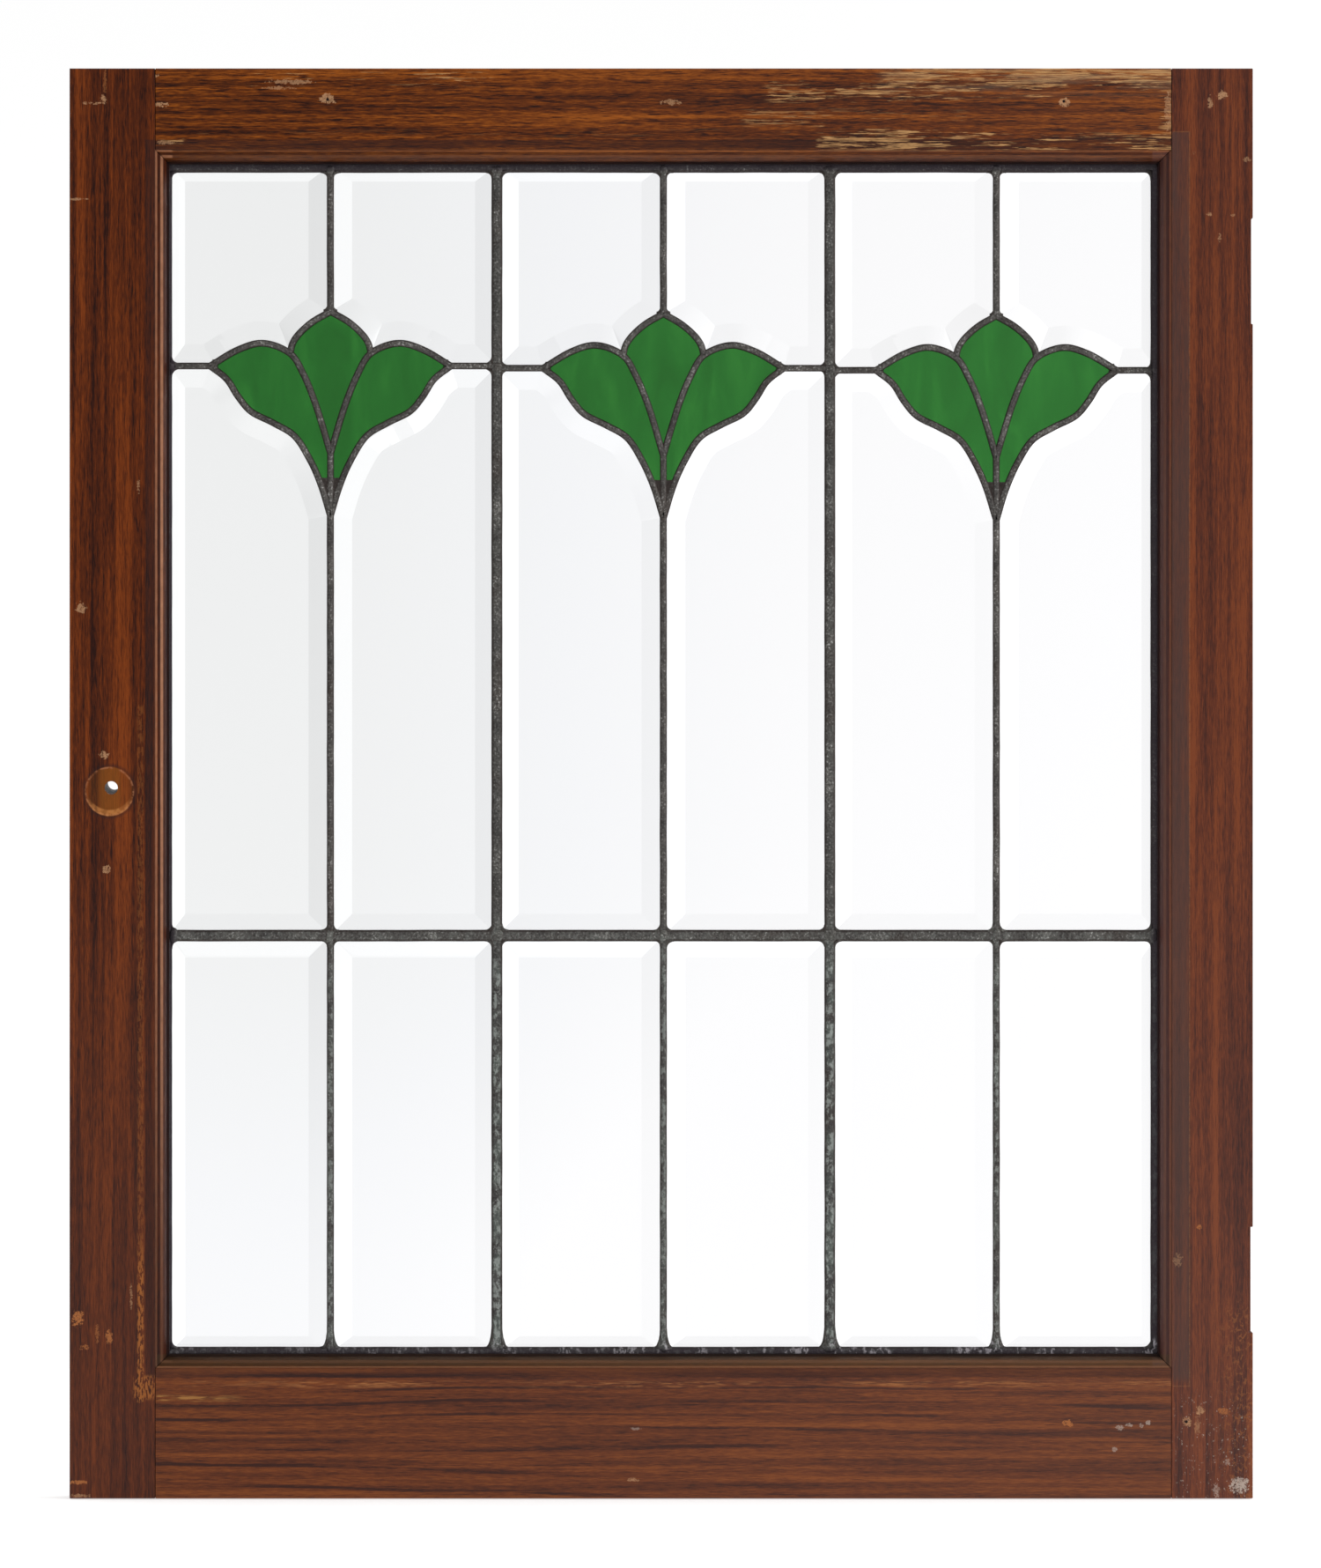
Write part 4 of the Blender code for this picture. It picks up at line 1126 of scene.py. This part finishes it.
def joints():
    """Crossings and ends of the straight cames: x, z and the half widths of the cames there."""
    border, cross = half("border_top").z, half("cross_1").z
    places = []
    for line in range(1, 6):
        width = came_half(line)
        places.append((BAY_LINES[line], CROSS_LEVEL, width, cross))
        places.append((BAY_LINES[line], BORDER_TOP - border * 0.6, width, border * 0.5))
        places.append((BAY_LINES[line], BORDER_BOTTOM + border * 0.6, width, border * 0.5))
    for line in (0, 6):
        inwards = came_half(0) * (0.6 if line == 0 else -0.6)
        places.append((BAY_LINES[line] + inwards, CROSS_LEVEL, BORDER_LUMP_HALF_WIDTH, cross))
    for flower in FLOWERS:
        level = tips_level(flower)
        for line in (2 * flower - 2, 2 * flower):
            places.append((BAY_LINES[line], level, came_half(line) * 0.8, TIP_BAR / 2))
    return places


def build_solder(finish):
    """All the solder, as one piece of webs and one of lumps."""
    tree = solder_tree(finish)
    dice = random.Random(SOLDER_DRAWS)
    webs = []
    for x, z, quarter in glass_corners():
        legs = (dice.uniform(*CORNER_LEGS), dice.uniform(*CORNER_LEGS))
        webs.append((x, z, quarter, legs))
    webs += flares() + feet()
    placed = []
    for x, z, quarter, legs in webs:
        placed.append(((x, z, LEVEL_ABOVE_GLASS), quarter * QUARTER, (*legs, WEB_THICKNESS)))
        placed.append(((x, z, LEVEL_BEHIND_GLASS), quarter * QUARTER, (*legs, BACK_WEB_THICKNESS)))
    lumps = []
    for x, z, half_x, half_z in joints():
        rise = dice.uniform(*LUMP_RISE)
        scale = (half_x * dice.uniform(*LUMP_SPREAD_X), half_z * dice.uniform(*LUMP_SPREAD_Z), rise)
        for face in (-1, 1):
            place = (x, z, face * (CAME_DEPTH / 2 - LUMP_SINK))
            lumps.append((place, dice.uniform(-LUMP_TURN, LUMP_TURN), scale))
    for name, unit, places, roughness in (("solder_webs", unit_web(), placed, 0.0007),
                                          ("solder_lumps", unit_lump(), lumps, 0.0008)):
        shape = bpy.data.objects.new(name + "_unit", unit)
        piece = run_tree(tree, name, points_data(name, places),
                         {"Shape": shape, "Roughness": roughness, "Seed": SOLDER_SEED}, finish)
        bpy.data.objects.remove(shape, do_unlink=True)
        keep(piece, "lead")


# Putty: its front below the cames' face, its thickness and its bed in the wood

PUTTY_DEPTH = 0.0012
PUTTY_THICKNESS = 0.0015
PUTTY_BED = 0.0025


def build_putty():
    """A thin fillet of old putty that closes the play between the panel and the sash; its near-black
    colour is painted shade in that gap.
    """
    left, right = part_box("left_bead")[0].x - PUTTY_BED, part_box("right_bead")[1].x + PUTTY_BED
    bottom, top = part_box("bottom_bead")[0].z - PUTTY_BED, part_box("top_bead")[1].z + PUTTY_BED
    outer = [(left, bottom), (right, bottom), (right, top), (left, top)]
    inner = [(BORDER_LEFT, BORDER_BOTTOM), (BORDER_RIGHT, BORDER_BOTTOM), (BORDER_RIGHT, BORDER_TOP),
             (BORDER_LEFT, BORDER_TOP)]
    near = PANEL_LOW.y + PUTTY_DEPTH
    far = near + PUTTY_THICKNESS
    mesh = bmesh.new()
    rings = [[mesh.verts.new((x, depth, z)) for x, z in loop]
             for depth, loop in ((near, outer), (far, outer), (far, inner), (near, inner))]
    for a, b in zip(rings, rings[1:] + rings[:1]):
        for i in range(4):
            mesh.faces.new((a[i], b[i], b[(i + 1) % 4], a[(i + 1) % 4]))
    bmesh.ops.recalc_face_normals(mesh, faces=mesh.faces)
    putty = Finish("old_putty")
    grain = putty.clouds(putty.place, 300.0, 3.0, 0.6)
    # Near black, as painted shade in the gap between the panel and the sash
    colour = putty.colours(grain, [(0.3, srgb(24, 18, 18)), (0.7, srgb(44, 36, 34))])
    finish = putty.surface(Base_Color=colour, Roughness=0.8)
    keep(new_piece("putty_fillet", finished_mesh(mesh, "putty"), finish), "stained_wood")


def build_panel():
    """Every came, light and petal of the leaded panel, then its solder and its putty."""
    lead = lead_finish("old_lead", (82, 79, 76), 1.0, 0.3)
    mossy = lead_finish("old_lead_with_patina", (80, 79, 76), 5.0, 0.45)
    solder = lead_finish("solder", (84, 82, 78), 8.0, 0.3)
    clear = clear_glass()
    green = green_glass()
    tree = came_tree(lead)
    for node in ("border_left", "border_right", "border_top", "border_bottom"):
        reach = CORNER_REACH if node in ("border_top", "border_bottom") else 0.0
        straight_came(tree, node, lead, reach, reach, PLAIN_WIDTHS)
    for number in (1, 2):
        straight_came(tree, f"heavy_upright_{number}", mossy, JOINT_REACH, JOINT_REACH, HEAVY_WIDTHS)
    for flower in FLOWERS:
        straight_came(tree, f"top_upright_{flower}", lead, CROWN_REACH, JOINT_REACH, THIN_WIDTHS)
        straight_came(tree, f"stem_{flower}", lead, JOINT_REACH, CALYX_REACH, THIN_WIDTHS)
        straight_came(tree, f"bottom_upright_{flower}", lead, JOINT_REACH, JOINT_REACH, THIN_WIDTHS)
        straight_came(tree, f"cross_{flower}", lead, JOINT_REACH, JOINT_REACH, CROSS_WIDTHS)
        flower_cames(tree, flower, lead)
        calyx_wedge(flower, lead)
        for side in ("left", "centre", "right"):
            refinish(f"flower_{flower}_{side}_petal", green)
    for number in range(1, 7):
        above, below = clear_light_loops(number)
        bevelled_light(f"top_light_{number}", above, clear)
        bevelled_light(f"middle_light_{number}", below, clear)
        refinish(f"bottom_light_{number}", clear)
    build_solder(solder)
    build_putty()


# Sash: the ease of its arrises and the deep, middle and light tones of each member's stain

ARRIS = 0.0004
LOCK_TONES = (srgb(38, 13, 7), srgb(84, 35, 9), srgb(122, 56, 16))
TOP_TONES = (srgb(40, 14, 6), srgb(96, 44, 8), srgb(150, 80, 20))
BOTTOM_TONES = (srgb(46, 18, 9), srgb(92, 43, 14), srgb(126, 66, 22))
HINGE_TONES = (srgb(46, 16, 9), srgb(84, 36, 16), srgb(114, 54, 22))
SHARP = math.radians(50)
SAME_PLANE = math.radians(1.0)
AXIS_ALIGNED = 0.9999
# The knob's bore, and how far its back end stands from where a straight bore would end
BORE_FROM_EDGE = 0.025
BORE_HEIGHT = 0.4268
BORE_REACH = 0.006
BORE_LEAN = Vector((0.0004, 0.0, 0.0030))


def lean_bore(mesh):
    """The knob's bore was drilled askew, so its back end lies higher than its front end."""
    centre = Vector((SASH_LOW.x + BORE_FROM_EDGE, SASH_LOW.z + BORE_HEIGHT))
    for vertex in mesh.verts:
        beside = Vector((vertex.co.x, vertex.co.z)) - centre
        if beside.length < BORE_REACH and vertex.co.y > PANEL_MIDDLE:
            vertex.co += BORE_LEAN


def along_axis(direction):
    return max(abs(part) for part in direction) >= AXIS_ALIGNED


def eased_wood(node, finish):
    """The member's own solid with its arrises eased and its moulding shaded smooth."""
    mesh = bmesh.new()
    mesh.from_mesh(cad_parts[node].data)
    bmesh.ops.remove_doubles(mesh, verts=mesh.verts, dist=SAME_POINT)
    bmesh.ops.dissolve_limit(mesh, angle_limit=SAME_PLANE, verts=mesh.verts, edges=mesh.edges)
    if node == "lock_stile":
        lean_bore(mesh)
    sharp = [edge for edge in mesh.edges if edge.calc_face_angle(0.0) > SHARP
             and along_axis((edge.verts[0].co - edge.verts[1].co).normalized())]
    bmesh.ops.bevel(mesh, geom=sharp, offset=ARRIS, offset_type="OFFSET", segments=2, profile=0.5,
                    affect="EDGES", clamp_overlap=True)
    for face in mesh.faces:
        face.smooth = not along_axis(face.normal)
    keep(new_piece(node + "_wood", finished_mesh(mesh, node), finish), "stained_wood", node)


def build_sash():
    """The four members, each with its own finish, and the finish of the four beads."""
    eased_wood("lock_stile", finished_wood("lock_stile_stain", "z", LOCK_TONES, 0.0068, 0.24, 0.2,
                                           0.92, 2.0, worn_lock_stile))
    eased_wood("hinge_stile", finished_wood("hinge_stile_stain", "z", HINGE_TONES, 0.013, 0.16, 0.14,
                                            1.05, 9.0, worn_hinge_stile, ((1347, 1614),)))
    eased_wood("top_rail", finished_wood("top_rail_stain", "x", TOP_TONES, 0.012, 0.14, 0.3,
                                         1.0, 4.0, worn_top_rail, ((372, 113), (1208, 115))))
    eased_wood("bottom_rail", finished_wood("bottom_rail_stain", "x", BOTTOM_TONES, 0.0098, 0.42, 0.14,
                                            0.8, 7.0, worn_bottom_rail))
    bead = finished_wood("bead_stain", "x", TOP_TONES, 0.012, 0.1, 0.2, 1.0, 12.0)
    for side in ("left", "right", "top", "bottom"):
        refinish(side + "_bead", bead)


# Studio

CAMERA_DISTANCE = 7.0
SENSOR = 36.0
FLOOR_RADIUS = 1.6
FLOOR_GAP = 0.0005
# Lamps stand at these offsets from the window's middle, in metres, with powers in watts
KEY_OFFSET = (3.3, -2.0, 1.2)
KEY_POWER = 85.0
FILL_OFFSET = (-1.8, -3.0, 2.2)
FILL_POWER = 18.0
LAMP_SIZE = 1.6
LIGHT_IN_FRONT = 0.5
LIGHT_BEHIND = 1.035


def build_camera():
    """Looks straight at the photograph's middle, so far off that it frames the same rectangle."""
    centre_x, centre_z = on_photo(*PHOTO_CENTRE)
    data = bpy.data.cameras.new("camera")
    data.sensor_width = SENSOR
    data.lens = SENSOR * CAMERA_DISTANCE / (PHOTO_HEIGHT * PHOTO_PIXEL)
    data.clip_end = 100.0
    camera = new_object("camera", data)
    camera.location = (SASH_LOW.x + centre_x, FRONT - CAMERA_DISTANCE, SASH_LOW.z + centre_z)
    camera.rotation_euler = (math.radians(90), 0.0, 0.0)
    bpy.context.scene.camera = camera


def softbox(name, offset, power, target):
    """A square lamp that faces the target from this far off."""
    data = bpy.data.lights.new(name, "AREA")
    data.shape = "SQUARE"
    data.size = LAMP_SIZE
    data.energy = power
    lamp = new_object(name, data)
    lamp.location = Vector(target) + Vector(offset)
    lamp.rotation_euler = (-Vector(offset)).to_track_quat("-Z", "Y").to_euler()


def build_floor():
    mesh = bmesh.new()
    bmesh.ops.create_circle(mesh, cap_ends=True, radius=FLOOR_RADIUS, segments=96)
    floor = new_object("floor", finished_mesh(mesh, "floor"))
    middle_x, middle_y, _ = (SASH_LOW + SASH_HIGH) / 2
    floor.location = (middle_x, middle_y, SASH_LOW.z - FLOOR_GAP)
    paper = Finish("white_paper")
    floor.data.materials.append(paper.surface(Base_Color=(0.9, 0.9, 0.9, 1.0), Roughness=0.8,
                                              Emission_Color=(1.0, 1.0, 1.0, 1.0),
                                              Emission_Strength=0.45))


def build_world():
    """A white room that is brightest behind the window and a little darker to its left."""
    world = bpy.data.worlds.new("studio")
    bpy.context.scene.world = world
    world.use_nodes = True
    sky = Sheet(world.node_tree)
    way = sky.node("ShaderNodeTexCoord", output="Generated")
    parts = sky.node("ShaderNodeSeparateXYZ", inputs={0: way}).socket.node.outputs
    x, y, z = (Value(sky, part) for part in parts)
    behind = y.ramp(-0.4, 0.5, LIGHT_IN_FRONT, LIGHT_BEHIND)
    right = x.ramp(0.0, 0.2) * 0.25
    left = x.ramp(-0.085, -0.18) * z.ramp(-0.045, -0.01, 0.5, 1.0) * 0.13
    light = behind + (right - left - z * 0.6) * y.ramp(0.0, 0.6)
    shader = sky.node("ShaderNodeBackground", inputs={"Color": (1.0, 1.0, 1.0, 1.0), "Strength": light})
    sky.node("ShaderNodeOutputWorld", inputs={"Surface": shader})


def build_studio():
    build_camera()
    build_floor()
    build_world()
    centre = ((SASH_LOW.x + SASH_HIGH.x) / 2, 0.0, (SASH_LOW.z + SASH_HIGH.z) / 2)
    softbox("key", KEY_OFFSET, KEY_POWER, centre)
    softbox("fill", FILL_OFFSET, FILL_POWER, centre)
    settings = bpy.context.scene.view_settings
    settings.view_transform = "Standard"
    settings.look = "None"


build_sash()
build_panel()
build_studio()
